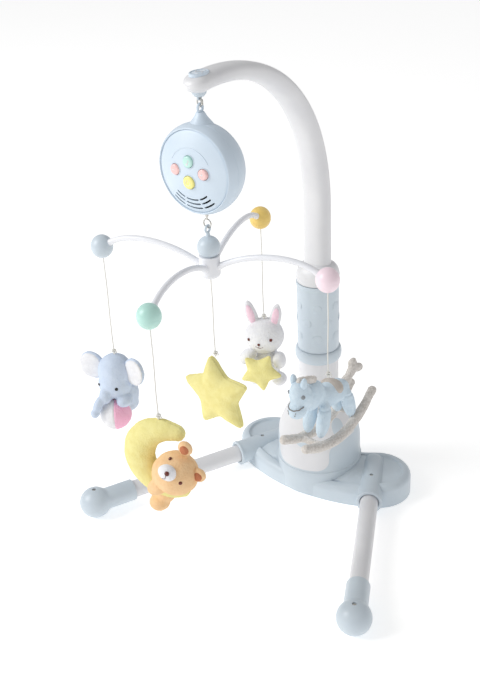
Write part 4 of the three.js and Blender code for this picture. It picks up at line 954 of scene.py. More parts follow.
@dataclass
class Base:
    """The moulded base: a tray with two lobes, a dome, its cover and two leg sockets."""

    lobe_offset: float = 105
    lobe_setback: float = 13
    lobe_radius: float = 54
    front_reach: float = 65.6
    waist_setback: float = 34
    height: float = 40
    front_dip: float = 9
    rim_fillet: float = 12
    recess: float = 4
    dome_radius: float = 68
    dome_skirt: float = 2
    dome_straight_top: float = 80
    dome_top: float = 160
    post_radius: float = 32
    cover_half_angle: float = 42
    cover_turn: float = 4
    cover_bottom: float = 50
    cover_shoulder: float = 98
    cover_top: float = 150
    socket: Point = (129.7, -58.1, 24.6)
    socket_radius: float = 19.8
    socket_length: float = 104
    socket_depth: float = 84
    splay: float = 25.5
    leg_radius: float = 14.2
    leg_reach: float = 262
    foot_radius: float = 25.4
    foot_sleeve: float = 17.6
    foot_sleeve_length: float = 66
    screw_setback: float = 50

    def crest(self, y: float) -> float:
        """Returns the rim's height at this distance in front."""
        return self.height - self.front_dip * smoothstep(-y, 15, 52)

    def _arc(self, edge: float, side: int) -> tuple[float, float]:
        """Returns the centre and radius of the arc through (0, edge) that meets both lobes."""
        sag = edge - self.lobe_setback
        chord = self.lobe_offset**2 + sag**2 - self.lobe_radius**2
        half = -sag - self.lobe_radius if side < 0 else self.lobe_radius - sag
        radius = chord / (2 * half)
        return edge + radius, radius

    def outline(self, inset: float) -> list[tuple[float, float]]:
        """Returns the base's outline, moved inwards by inset."""
        front_y, front_r = self._arc(-self.front_reach, -1)
        waist_y, waist_r = self._arc(self.waist_setback, 1)
        front_r, waist_r = abs(front_r), abs(waist_r)
        x, y, r = self.lobe_offset, self.lobe_setback, self.lobe_radius
        front = math.atan2(y - front_y, x)
        waist = math.atan2(y - waist_y, x)
        out: list[tuple[float, float]] = []

        def arc(cx: float, cy: float, radius: float, start: float, end: float, steps: int) -> None:
            for i in range(steps):
                a = start + (end - start) * i / steps
                out.append((cx + radius * math.cos(a), cy + radius * math.sin(a)))

        arc(x, y, r - inset, front, waist + math.pi, 34)
        arc(0, waist_y, waist_r + inset, waist, -math.pi - waist, 14)
        arc(-x, y, r - inset, -waist, math.pi - front, 34)
        arc(0, front_y, front_r - inset, -math.pi - front, front, 40)
        return out

    def tray(self) -> Shape:
        """Returns the tray: a rounded rim, a recessed deck and low steps round the dome."""
        rings = [[Vector((x, y, 0)) for x, y in self.outline(0)]]
        rings.append([Vector((x, y, 1.5)) for x, y in self.outline(0)])
        steps = 10
        for i in range(steps + 1):
            a = i / steps * math.pi / 2
            inset, drop = self.rim_fillet * (1 - math.cos(a)), self.rim_fillet * (1 - math.sin(a))
            rings.append([Vector((x, y, self.crest(y) - drop)) for x, y in self.outline(inset)])
        for inset, drop in ((self.rim_fillet + 1, 0.1), (self.rim_fillet + 2.2, 1.4),
                            (self.rim_fillet + 3.4, 3.4), (self.rim_fillet + 5, self.recess)):
            rings.append([Vector((x, y, self.crest(y) - drop)) for x, y in self.outline(inset)])
        edge = self.outline(self.rim_fillet + 5)
        inner = self.dome_radius - 4
        for share in [0.2, 0.4, 0.55, 0.62, 0.7, 0.78, 0.86, 0.93, 1.0]:
            ring = []
            for x, y in edge:
                away = math.hypot(x, y)
                reach = lerp(away, min(inner, away * 0.9), share)
                px, py = x / away * reach, y / away * reach
                rise = 2.2 * (1 - smoothstep(reach, 78, 80)) + 1.6 * (1 - smoothstep(reach, 88, 90))
                ring.append(Vector((px, py, self.crest(py) - self.recess + rise)))
            rings.append(ring)
        return loft(rings)

    def dome_radius_at(self, z: float) -> float:
        """Returns the dome's radius at this height."""
        neck = self.post_radius + 1
        t = (z - self.dome_straight_top) / (self.dome_top - self.dome_straight_top)
        t = min(1.0, max(0.0, t))
        return neck + (self.dome_radius - neck) * (1 - t**1.7)

    def dome_profile(self, offset: float, bottom: float) -> list[tuple[float, float]]:
        """Returns the dome's outline from bottom to top, moved outwards by offset."""
        out = [(self.dome_radius + offset, bottom), (self.dome_radius + offset, lerp(bottom, 80, 0.5))]
        for i in range(25):
            z = lerp(self.dome_straight_top, self.dome_top, i / 24)
            out.append((self.dome_radius_at(z) + offset, z + offset * i / 24))
        return out

    def dome(self) -> Shape:
        """Returns the dome with the wider skirt at its foot."""
        skirt = self.dome_radius + self.dome_skirt
        foot = [(skirt, 3), (skirt, 30), (skirt, 44), (skirt - 0.6, 45.6), (skirt - 1.8, 46.4)]
        body = self.dome_profile(0, 47.2)
        return revolve([(0, 3), *foot, *body, (self.post_radius + 0.4, self.dome_top + 0.2),
                        (0, self.dome_top + 0.2)], 128)

    def shield(self, grow: float, depth: float) -> Shape:
        """Returns the block that the cover is cut out with."""
        half = self.dome_radius * math.sin(math.radians(self.cover_half_angle)) + grow
        full = self.dome_radius + 3 + grow
        low, waist, high = self.cover_bottom - grow, self.cover_shoulder - grow, self.cover_top + grow
        flare = waist + (full - half) / 3
        right = [(0, low), (half, low, 20), (half, waist - 6, 9), (full, flare), (full, high), (0, high)]
        side = fillet(right, 8)
        outline = side + [(-x, z) for x, z in reversed(side[1:-1])]
        rings = [[Vector((x, y, z)) for x, z in outline] for y in (grow, -depth)]
        return loft(rings).moved(Matrix.Rotation(math.radians(self.cover_turn), 4, "Z"))

    def cover(self) -> bpy.types.Object:
        """Makes the white cover that lies over the front and top of the dome."""
        inner = self.dome_profile(-1.0, 20)
        outer = list(reversed(self.dome_profile(1.1, 20)))
        piece = raw_object("dome_cover_skin", revolve(inner + outer, 128))
        cut(piece, [self.shield(0, 140)], "INTERSECT")
        return dress(piece, "stand", WHITE, ["dome_cover"])

    def leaf(self, name: str, turn: float, z: float, tall: float, wide: float) -> bpy.types.Object:
        """Makes one pale blue oval let into the cover.

        Args:
            name: The object's name.
            turn: Where it lies round the dome, in degrees from straight ahead.
            z: Height of its middle.
            tall: Its height.
            wide: Its width.

        Returns:
            The object.
        """
        rings = []
        around = 40
        for share, proud in ((0.0, 0.9), (0.5, 0.85), (0.8, 0.75), (0.94, 0.5), (1.0, -0.6)):
            ring = []
            for i in range(around):
                a = TURN * i / around
                height = z + tall / 2 * max(share, 0.02) * math.sin(a)
                radius = self.dome_radius_at(height) + 1.1 + proud
                angle = math.radians(turn - 90) + wide / 2 * max(share, 0.02) * math.cos(a) / radius
                ring.append(Vector((radius * math.cos(angle), radius * math.sin(angle), height)))
            rings.append(ring)
        rings.append([p * 0.96 + Vector((0, 0, p.z * 0.04)) for p in rings[-1]])
        return make(name, loft(rings), "stand", BLUE)

    def along(self, side: int) -> Vector:
        """Returns the direction from a foot into the base."""
        a = math.radians(self.splay)
        return Vector((-side * math.sin(a), math.cos(a), 0))

    def leg_frame(self, side: int) -> Matrix:
        """Returns the matrix that takes Z to the leg's direction, with the socket's mouth at 0."""
        mouth = Vector((side * self.socket[0], self.socket[1], self.socket[2]))
        return turned_to(self.along(side), mouth)

    def leg(self, side: int, word: str) -> None:
        """Makes one leg: its socket, tube and foot."""
        place = self.leg_frame(side)
        r, lip = self.socket_radius, self.socket_radius + 1.1
        bore = self.leg_radius + 0.4
        end = self.socket_length
        profile = [(0, self.socket_depth), (bore, self.socket_depth), (bore, 3)]
        profile += fillet([(bore, 3), (bore + 1.6, 0.0, 0.6), (lip - 0.9, 0.0, 0.4), (lip, 0.9, 0.6),
                           (lip, 4.0, 0.5), (r, 4.8, 0.4), (r, end)], 3)[1:]
        profile += [(r * math.cos(i / 8 * math.pi / 2), end + r * math.sin(i / 8 * math.pi / 2))
                    for i in range(1, 8)]
        profile.append((0, end + r))
        piece = raw_object(f"leg_socket_{word}", revolve(profile, 56).moved(place))
        screw = self.leg_screw(side)
        cut(piece, [self.screw_well(screw)])
        dress(piece, "stand", BLUE)
        tube = [(0, -self.leg_reach + 11.5), (self.leg_radius, -self.leg_reach + 11.5),
                (self.leg_radius, self.socket_depth - 2), (0, self.socket_depth - 2)]
        make(f"leg_tube_{word}_skin", revolve(tube, 48).moved(place), "stand", WHITE,
             [f"leg_tube_{word}"])
        self.foot(side, word, place)

    def foot(self, side: int, word: str, place: Matrix) -> None:
        """Makes one foot: a ball that runs into a sleeve round the tube."""
        centre = -self.leg_reach
        r, s = self.foot_radius, self.foot_sleeve
        meet = math.sqrt(r * r - s * s)
        arc = [(r * math.sin(a), centre - r * math.cos(a))
               for a in (i / 26 * (math.pi - math.asin(s / r)) for i in range(27))]
        profile = [(0, centre - r), *arc[1:-1], (s + 0.9, centre + meet - 0.6),
                   (s + 0.15, centre + meet + 1.8)]
        stop = centre + self.foot_sleeve_length
        profile += fillet([(s, centre + meet + 4), (s, stop, 1.2), (self.leg_radius + 0.4, stop, 0.6),
                           (self.leg_radius + 0.4, centre + 12), (0, centre + 12)], 3)
        piece = raw_object(f"foot_{word}_skin", revolve(profile, 56).moved(place))
        middle = place @ Vector((0, 0, centre))
        under = Shape([Vector((middle.x + a * 60, middle.y + b * 60, c)) for c in (-30, 0)
                       for a, b in ((-1, -1), (1, -1), (1, 1), (-1, 1))],
                      [(0, 1, 2, 3), (4, 5, 6, 7), (0, 1, 5, 4), (1, 2, 6, 5), (2, 3, 7, 6), (3, 0, 4, 7)])
        well = Vector((middle.x, middle.y, middle.z + r - 4))
        cut(piece, [under, self.screw_well(well)])
        dress(piece, "stand", BLUE, [f"foot_{word}"])

    def leg_screw(self, side: int) -> Vector:
        """Returns the seat of the screw that holds a leg in its socket."""
        place = self.leg_frame(side) @ Vector((0, 0, self.screw_setback))
        return Vector((place.x, place.y, self.socket[2] + self.socket_radius - 4))

    def screw_well(self, seat: Vector) -> Shape:
        """Returns the round well over a screw's seat."""
        return revolve([(0, 0), (3.4, 0), (3.4, 14), (0, 14)], 24).moved(Matrix.Translation(seat))

    def build(self) -> None:
        """Makes the base, the dome, the cover and both legs."""
        make("base_tray", self.tray(), "stand", BLUE, ["base_shell"])
        make("dome_skin", self.dome(), "stand", BLUE)
        self.cover()
        self.leaf("cover_oval_front", 9, 103, 22, 30)
        self.leaf("cover_oval_right", 64, 122, 30, 22)
        for side, word in ((-1, "left"), (1, "right")):
            self.leg(side, word)


@dataclass
class Post:
    """The post: a lower tube, a locking ring and the spotted sleeve."""

    radius: float = 32
    neck: float = 29.8
    ring_radius: float = 37
    ring_bottom: float = 228
    ring_height: float = 20
    sleeve_radius: float = 32.8
    sleeve_top: float = 362
    spot_radius: float = 7.6

    def build(self) -> None:
        """Makes the three turned pieces and the sleeve's raised spots."""
        low, high = self.ring_bottom, self.ring_bottom + self.ring_height
        tube = [(0, 42), (self.radius, 42), (self.radius, low + 3), (self.neck, low + 3),
                (self.neck, 350), (self.neck - 2.4, 350), (self.neck - 2.4, 60), (0, 60)]
        make("post_tube_skin", revolve(tube, 96), "stand", WHITE, ["post_tube"])
        ring = [(self.radius + 0.3, low + 0.6), (self.radius + 1.2, low)]
        for i in range(13):
            a = -math.pi / 2 + i / 12 * math.pi
            ring.append((self.ring_radius - 4.2 + 4.2 * math.cos(a) ** 0.8 if i not in (0, 12) else
                         self.ring_radius - 4.2, (low + high) / 2 + 9.9 * math.sin(a)))
        ring += [(self.neck + 0.5, high), (self.neck + 0.5, low + 4), (self.radius + 0.3, low + 4)]
        make("lock_ring_skin", revolve(ring, 96), "stand", BLUE, ["lock_ring"])
        r, top = self.sleeve_radius, self.sleeve_top
        outer = fillet([(self.neck + 0.4, high + 0.3), (r, high + 0.3, 0.8), (r, top - 6, 0.6),
                        (r + 0.9, top - 5, 0.5), (r + 0.9, top - 0.1, 0.7), (r - 2.0, top - 0.1, 0.8),
                        (r - 2.4, top - 1.6, 0.5), (self.neck + 0.4, top - 1.6)], 4)
        make("post_sleeve_skin", revolve(outer, 96), "stand", BLUE, ["post_sleeve"])
        spots("sleeve_spots", r - 0.4, self.spot_radius, 3, 6, 274, 26, 1.25, BLUE, "stand")


@dataclass
class Arm:
    """The arched arm with its shoulder, oval badge, hook mount and wire link."""

    width: float = 42
    depth: float = 32
    tip_width: float = 35
    tip_depth: float = 22
    rise: float = 731
    straight_top: float = 480
    shoulder_top: float = 392
    sleeve_top: float = 362
    shoulder_radius: float = 32.4
    overhang: float = 20
    sides: int = 48

    def path(self) -> list[Vector]:
        """Returns the arm's middle line above the shoulder."""
        low, high = Vector((0, 0, self.shoulder_top)), Vector((0, 0, self.straight_top))
        tip = Vector((0, -REACH, self.rise))
        line = [low.lerp(high, i / 8) for i in range(8)]
        bend = Vector((0, 0, lerp(self.straight_top, self.rise, 0.65)))
        crown = Vector((0, -0.42 * REACH, self.rise + 14))
        line += bezier(high, bend, crown, tip, 48)
        end = tip + Vector((0, -self.overhang, -0.09 * self.overhang))
        line += [tip.lerp(end, i / 12) for i in range(1, 13)]
        return line

    def oval(self, centre: Vector, along: Vector, half_width: float, half_depth: float) -> list[Vector]:
        """Returns one ring of the arm: an oval with slightly flattened sides."""
        across = Vector((1, 0, 0))
        out = along.cross(across).normalized()
        ring = []
        for i in range(self.sides):
            a = TURN * i / self.sides
            c, s = math.cos(a), math.sin(a)
            full = (abs(c) ** 2.5 + abs(s) ** 2.5) ** (-1 / 2.5)
            ring.append(centre + across * half_width * c * full + out * half_depth * s * full)
        return ring

    def shape(self) -> Shape:
        """Returns the arm from the plug in the post to its rounded tip."""
        up = Vector((0, 0, 1))
        rings = []
        for r, z in ((26.6, 300), (26.6, 350.3), (29, 350.3), (29, 361), (self.shoulder_radius - 1, 362.3),
                     (self.shoulder_radius, 363.2), (self.shoulder_radius, 368)):
            rings.append([Vector((r * math.cos(TURN * i / self.sides),
                                  r * math.sin(TURN * i / self.sides), z))
                          for i in range(self.sides)])
        for i in range(1, 9):
            t = i / 9
            mix = 1 - math.sqrt(1 - t * t) * 0.97
            z = lerp(368, self.shoulder_top, t)
            rings.append(self.oval(Vector((0, 0, z)), up, lerp(self.shoulder_radius, self.width / 2, mix),
                                   lerp(self.shoulder_radius, self.depth / 2, mix)))
        line = self.path()
        spans = [0.0]
        for a, b in zip(line, line[1:]):
            spans.append(spans[-1] + (b - a).length)
        for i, at in enumerate(line):
            t = spans[i] / spans[-1]
            along = (line[min(i + 1, len(line) - 1)] - line[max(i - 1, 0)]).normalized()
            round_off = math.sqrt(max(0.03, 1 - max(0.0, 1 - (spans[-1] - spans[i]) / 18) ** 2))
            taper = smoothstep(t, 0.25, 1)
            rings.append(self.oval(at, along, lerp(self.width, self.tip_width, taper) / 2 * round_off,
                                   lerp(self.depth, self.tip_depth, taper) / 2 * round_off))
        return loft(rings)

    def badge(self) -> None:
        """Makes the oval badge: a raised rim round a slightly domed face, with a plain wave."""
        base = Matrix.Translation((0, -260.5, 739.4))
        stretch = Matrix.Diagonal((11, 15, 1, 1))
        rim = [(0, 0), (1, 0), (1, 3.6), (0.94, 4.1), (0.86, 4.1), (0.82, 3.5), (0.5, 3.8), (0, 3.9)]
        make("tip_badge_skin", revolve(rim, 56).moved(base @ stretch), "stand", BOX_BLUE, ["tip_badge"])
        wave = [Vector((x, -260.5 + 3.6 * math.sin(x * 0.62), 743.2)) for x in
                [lerp(-7.4, 7.4, i / 20) for i in range(21)]]
        make("tip_badge_wave", sweep(wave, 0.55, 8), "stand", WHITE)
        bars = Shape()
        for dy in (-7.2, 7.2):
            bars.add(sweep([Vector((lerp(-4, 4, i / 6), -260.5 + dy, 743.1)) for i in range(7)], 0.5, 8))
        make("tip_badge_bars", bars, "stand", WHITE)

    def build(self) -> None:
        """Makes the arm, badge, hook mount and link."""
        make("arch_arm_skin", self.shape(), "stand", WHITE, ["arch_arm"])
        self.badge()
        at = Matrix.Translation((0, -REACH, 0))
        block = fillet([(0, 713.6), (5.6, 713.6, 1.5), (9.2, 717.5, 1.5), (9.6, 724), (0, 724)], 4)
        shape = revolve(block, 40).moved(at)
        lug = [Vector((0, 3.6 * math.cos(TURN * i / 32), 713.5 + 3.6 * math.sin(TURN * i / 32)))
               for i in range(32)]
        shape.add(sweep([p + Vector((0, -REACH, 0)) for p in lug], 1.25, 12, closed=True))
        make("hook_mount_skin", shape, "stand", BLUE, ["hook_mount"])
        top, bottom = 712.4, 701.0
        link = spline([(0, -REACH, top), (3.4, -REACH, top - 3.4), (3.4, -REACH, bottom + 3.4),
                       (0, -REACH, bottom), (-3.4, -REACH, bottom + 3.4), (-3.4, -REACH, top - 3.4)],
                      8, closed=True)
        shape = sweep(link, 1.05, 12, closed=True)
        wrap = [Vector((3.4 + 1.35 * math.cos(i * 0.9), -REACH + 1.35 * math.sin(i * 0.9), 703.8 + i * 0.16))
                for i in range(40)]
        shape.add(sweep(wrap, 0.5, 8))
        make("arm_hook_skin", shape, "link", STEEL, ["arm_hook"])


# ------------------------------------------------------------------ music box


@dataclass
class MusicBox:
    """The round music box: its case, speaker face, four buttons and drive hook."""

    place: Point = (0, -REACH, 624)
    radius: float = 59
    face_radius: float = 53
    face_dome: float = 11
    face_start: float = 20
    face_wall: float = 2.4
    wall: float = 2.4
    slot_width: float = 2.2
    slot_radii: tuple[float, ...] = (35, 41, 47)
    slot_spans: tuple[tuple[float, float], ...] = ((-42, -19), (-16, 16), (19, 42))
    proud: float = 3.0

    @property
    def frontwards(self) -> Matrix:
        """The matrix that takes Z to the front and the origin to the middle of the box."""
        return Matrix.Translation(self.place) @ Matrix.Rotation(math.pi / 2, 4, "X")

    def face_height(self, r: float) -> float:
        """Returns how far in front of the middle the face is at this distance from its centre."""
        return self.face_start + self.face_dome * (1 - (r / self.face_radius) ** 2)

    def case(self) -> None:
        """Makes the back of the case with its neck, and the rim round the face."""
        back = [(self.radius - 0.3, 6.3)]
        for i in range(23):
            a = i / 22 * math.pi / 2
            back.append((self.radius * math.cos(a) ** 0.8 if i < 22 else 0,
                         6 - 45 * math.sin(a) ** 0.95))
        wall = [(max(0.0, r - self.wall) if r else 0.0, min(6.3, z + self.wall)) for r, z in back]
        shell = raw_object("music_back_skin", revolve(back + wall[::-1], 112).moved(self.frontwards))
        neck = fillet([(0, 36), (26, 36), (19.5, 47, 5), (17, 54, 3), (12, 60, 2.5), (8.2, 65, 1.5),
                       (5.2, 70.8, 1), (0, 70.8)], 5)
        cut(shell, [self.door_opening()])
        dress(shell, "music_box", BOX_BLUE, ["music_back"])
        make("music_neck", revolve(neck, 64).moved(Matrix.Translation(self.place)), "music_box", BOX_BLUE)
        rim = fillet([(50, 6.3), (58.7, 6.3), (59, 6.8, 0.3), (58.3, 14, 3), (55.6, 20.4, 1.4),
                      (54.2, 21.4, 0.5), (53.4, 20.6, 0.4), (52.9, 18.4), (50, 18.4)], 5)
        make("music_front_skin", revolve(rim, 112).moved(self.frontwards), "music_box", BOX_BLUE,
             ["music_front"])

    def door_opening(self) -> Shape:
        """Returns the block that leaves the battery door's opening in the back."""
        low, high = (Vector(corner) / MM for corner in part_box("battery_door"))
        gap, deep = 0.35, 60.0
        outline = rounded([(low.x - gap, low.z - gap), (high.x + gap, low.z - gap),
                           (high.x + gap, high.z + gap), (low.x - gap, high.z + gap)], 1.0)
        return loft([[Vector((x, y, z)) for x, z in outline] for y in (low.y - gap, low.y + deep)])

    def slot_cutter(self, radius: float, start: float, end: float) -> Shape:
        """Returns one round-ended curved slot, measured in degrees from straight down."""
        rings = []
        steps = 18
        for i in range(steps + 1):
            angle = math.radians(lerp(start, end, i / steps) - 90)
            from_end = min(i, steps - i) / steps * math.radians(end - start) * radius
            half = self.slot_width / 2
            half *= math.sqrt(max(0.12, 1 - max(0.0, 1 - from_end / (self.slot_width / 2)) ** 2))
            ring = [(radius - half, 8), (radius + half, 8), (radius + half, 40), (radius - half, 40)]
            rings.append([Vector((r * math.cos(angle), r * math.sin(angle), h)) for r, h in ring])
        return loft(rings).moved(self.frontwards)

    def face(self) -> None:
        """Makes the domed face with its slots, button holes and raised arc."""
        outer = [(lerp(0, self.face_radius - 0.7, i / 24), 0) for i in range(25)]
        outer = [(r, self.face_height(r)) for r, _ in outer]
        outer += [(self.face_radius - 0.15, outer[-1][1] - 0.7)]
        inner = [(r, self.face_height(r) - self.face_wall) for r, _ in reversed(outer[:-1])]
        panel = raw_object("face_panel_skin", revolve(outer + inner, 112).moved(self.frontwards))
        slots = Shape()
        for radius in self.slot_radii:
            for start, end in self.slot_spans:
                slots.add(self.slot_cutter(radius, start, end))
        holes = Shape()
        for button in self.buttons().values():
            hole = [(0, 5), (button[2] + 0.45, 5), (button[2] + 0.45, 45), (0, 45)]
            at = Matrix.Translation((button[0], button[1], 0))
            holes.add(revolve(hole, 40).moved(self.frontwards @ at))
        cut(panel, [slots, holes])
        dress(panel, "music_box", BOX_BLUE, ["face_panel"])
        arc = []
        for i in range(41):
            a = math.radians(lerp(28, 152, i / 40))
            arc.append(Vector((32 * math.cos(a), 32 * math.sin(a), self.face_height(32) + 0.05)))
        make("face_arc", sweep(arc, 0.55, 10).moved(self.frontwards), "music_box", BOX_BLUE)
        for name, (x, z, r, *_rest) in self.buttons().items():
            ring = [Vector(((x + (r + 1.1) * math.cos(TURN * i / 56)),
                            z + (r + 1.1) * math.sin(TURN * i / 56),
                            0)) for i in range(56)]
            ring = [Vector((p.x, p.y, self.face_height(math.hypot(p.x, p.y)))) for p in ring]
            make(f"bezel_{name}", sweep(ring, 0.7, 10, closed=True).moved(self.frontwards),
                 "music_box", BOX_BLUE)

    def buttons(self) -> dict[str, tuple[float, float, float, Finish]]:
        """Returns each button's place on the face, radius and finish."""
        return {"green": (0, 15.7, 7.4, MINT), "left": (-21.7, 2.5, 6.9, CORAL),
                "right": (21.7, 2.5, 6.9, CORAL), "power": (0, -10.8, 8.4, LEMON)}

    def keys(self) -> None:
        """Makes the four buttons, each with a crowned top and a small raised mark."""
        for name, (x, z, r, finish) in self.buttons().items():
            base = self.face_height(math.hypot(x, z))
            top = base + self.proud
            outline = fillet([(0, base - 6), (r, base - 6), (r, top - 1.2, 0.9), (r - 1.6, top - 0.15, 0.9),
                              (r * 0.5, top + 0.05), (0, top)], 6)
            at = self.frontwards @ Matrix.Translation((x, z, 0))
            body = f"button_{name}_body"
            make(f"button_{name}_skin", revolve(outline, 56).moved(at), body, finish, [f"button_{name}"])
            self.mark(name, at, top, body)

    def mark(self, name: str, at: Matrix, top: float, body: str) -> None:
        """Makes the mark on a button: a power sign, a note, or plus and minus bars."""
        z = top + 0.02
        shape = Shape()
        if name == "power":
            ring = [Vector((3.6 * math.cos(a), 3.6 * math.sin(a), z))
                    for a in (math.radians(lerp(125, 415, i / 36)) for i in range(37))]
            shape.add(sweep(ring, 0.5, 8))
            shape.add(sweep([Vector((0, lerp(0.6, 4.8, i / 6), z)) for i in range(7)], 0.5, 8))
        elif name == "green":
            shape.add(sweep([Vector((1.4, lerp(-2.4, 3.2, i / 6), z)) for i in range(7)], 0.4, 8))
            shape.add(revolve([(0, -0.4), (1.5, -0.4), (1.5, 0.4), (0, 0.5)], 20).moved(
                Matrix.Translation((0, -2.4, z))))
            shape.add(sweep(spline([(1.4, 3.2, z), (3, 1.8, z), (3.4, 0.4, z)], 5), 0.4, 8))
        else:
            shape.add(sweep([Vector((lerp(-2.6, 2.6, i / 6), 0, z)) for i in range(7)], 0.45, 8))
            if name == "right":
                shape.add(sweep([Vector((0, lerp(-2.6, 2.6, i / 6), z)) for i in range(7)], 0.45, 8))
        make(f"mark_{name}", shape.moved(at), body, ICON if name == "power" else WHITE)

    def build(self) -> None:
        """Makes the case, the face, the buttons, the eye above and the collar over the hook below."""
        self.case()
        self.face()
        self.keys()
        eye = [Vector((self.place[0], self.place[1] + 4.8 * math.cos(TURN * i / 40),
                       self.place[2] + 75.6 + 4.8 * math.sin(TURN * i / 40))) for i in range(40)]
        make("music_eye", sweep(eye, 1.8, 14, closed=True), "music_box", BOX_BLUE)
        seat = Vector(self.place) + Vector((0, 0, -self.radius))
        collar = fillet([(0, 3), (9, 3), (8.4, -1.6, 0.8), (6, -2.6, 0.6), (2.7, -2.6), (2.7, 0), (0, 0)], 4)
        make("drive_collar", revolve(collar, 48).moved(Matrix.Translation(seat)), "music_box", BOX_BLUE)


# ------------------------------------------------------------------ hanger


@dataclass
class Hanger:
    """The turning hanger: a cap and a hub, four bowed arms and a ball at the end of each."""

    split: float = 503.7
    cap_ball: float = 15.4
    cap_centre: float = 515.0
    eye: float = 540.4
    hub_radius: float = 14
    ball_radius: float = 15.6
    ball_stretch: float = 1.06
    arm_radius: float = 4.1
    balls: tuple[tuple[str, Finish], ...] = (("pink", PINK), ("yellow", YELLOW), ("blue", BLUE),
                                             ("green", MINT))

    def hub(self) -> None:
        """Makes the ball-shaped cap with its stalk and eye, and the hub below it."""
        at = Matrix.Translation((0, -REACH, 0))
        low = math.asin((self.cap_centre - self.split - 0.3) / self.cap_ball)
        cap = [(0, self.split + 0.3), (self.cap_ball * math.cos(low) - 0.6, self.split + 0.3)]
        for i in range(25):
            a = lerp(-low + 0.03, math.pi / 2 - 0.24, i / 24)
            cap.append((self.cap_ball * math.cos(a), self.cap_centre + self.cap_ball * math.sin(a)))
        top = self.cap_centre + self.cap_ball
        cap += [(3.3, top + 0.4), (2.9, top + 2), (2.2, self.eye - 4.8), (0, self.eye - 4.4)]
        shape = revolve(cap, 72).moved(at)
        ring = [Vector((0, -REACH + 4.6 * math.cos(TURN * i / 40), self.eye + 4.6 * math.sin(TURN * i / 40)))
                for i in range(40)]
        shape.add(sweep(ring, 1.6, 14, closed=True))
        make("hub_cap_skin", shape, "hanger", BLUE, ["hub_cap"])
        r = self.hub_radius
        body = [(0, HUB_BOTTOM)]
        body += [(r * math.sin(a), HUB_BOTTOM + 9 - 9 * math.cos(a))
                 for a in (i / 12 * math.pi / 2 for i in range(1, 13))]
        body += fillet([(r, HUB_BOTTOM + 9), (r, self.split, 0.8), (0, self.split)], 4)[1:]
        make("hub_body_skin", revolve(body, 72).moved(at), "hanger", GLOSS_WHITE, ["hub_body"])

    def arm(self, quarter: int, word: str) -> None:
        """Makes one bowed arm, a little thicker at both ends."""
        quarter_turn = math.radians(11.36 + 90 * quarter)
        turn = Matrix.Translation((0, -REACH, 0)) @ Matrix.Rotation(quarter_turn, 4, "Z")
        line = bezier(Vector((9, 0, 486)), Vector((44.6, 0, 512)), Vector((118.8, 0, 524)),
                      Vector((153.9, 0, 499)), 48)
        shape = sweep(line, lambda t: self.arm_radius + 0.9 * smoothstep(0.12 - t, 0, 0.1)
                      + 0.5 * smoothstep(t - 0.93, 0, 0.05), 24)
        make(f"hanger_arm_{word}_skin", shape.moved(turn), "hanger", GLOSS_WHITE, [f"hanger_arm_{word}"])

    def ball(self, quarter: int, word: str, finish: Finish) -> None:
        """Makes one ball with its moulding line."""
        x, y = ball_place(quarter)
        profile = []
        for i in range(41):
            a = lerp(-math.pi / 2, math.pi / 2, i / 40)
            groove = 0.22 * math.exp(-((a / 0.03) ** 2))
            r = self.ball_radius - groove
            profile.append((r * math.cos(a) if i not in (0, 40) else 0,
                            BALL_Z + r * self.ball_stretch * math.sin(a)))
        make(f"ball_{word}_skin", revolve(profile, 72).moved(Matrix.Translation((x, y, 0))), "hanger",
             finish, [f"ball_{word}"])

    def build(self) -> None:
        """Makes the hub, the arms and the balls."""
        self.hub()
        for quarter, (word, finish) in enumerate(self.balls):
            self.arm(quarter, word)
            self.ball(quarter, word, finish)


# ------------------------------------------------------------------ stuffed toys


@dataclass(frozen=True)
class Egg:
    """An ellipsoid of stuffing.

    Attributes:
        size: Its half-lengths.
        place: Its centre below the string's end.
        turn: Its turn about X, Y and Z, in degrees.
    """

    size: Point
    place: Point
    turn: Point = (0.0, 0.0, 0.0)

    def shape(self, grow: float = 0.0, steps: int = 32) -> Shape:
        """Returns its closed shape, larger by grow all round."""
        rows = steps // 2
        profile = [(math.sin(math.pi * i / rows) if i % rows else 0.0, -math.cos(math.pi * i / rows))
                   for i in range(rows + 1)]
        ax, ay, az = (math.radians(t) for t in self.turn)
        turn = Matrix.Rotation(az, 4, "Z") @ Matrix.Rotation(ay, 4, "Y") @ Matrix.Rotation(ax, 4, "X")
        size = Matrix.Diagonal((*(s + grow for s in self.size), 1))
        return revolve(profile, steps).moved(Matrix.Translation(self.place) @ turn @ size)


@dataclass(frozen=True)
class Seam:
    """A sewn line where a plane cuts the cover.

    Attributes:
        through: A point of the plane.
        normal: The plane's direction.
        reach: How far from the point the line runs.
        depth: How deep the thread pulls the cover in.
        width: The groove's half-width.
    """

    through: Point
    normal: Point
    reach: float = 200.0
    depth: float = 1.1
    width: float = 1.1


def rounded(points: Sequence[tuple[float, float]], radius: float,
            steps: int = 5) -> list[tuple[float, float]]:
    """Returns a closed outline with every corner rounded by this radius."""
    out = []
    count = len(points)
    for i, corner in enumerate(points):
        here = Vector(corner)
        before = (Vector(points[i - 1]) - here).normalized() * radius
        after = (Vector(points[(i + 1) % count]) - here).normalized() * radius
        for k in range(steps + 1):
            t = k / steps
            p = (here + before) * (1 - t) ** 2 + here * 2 * t * (1 - t) + (here + after) * t * t
            out.append((p.x, p.y))
    return out


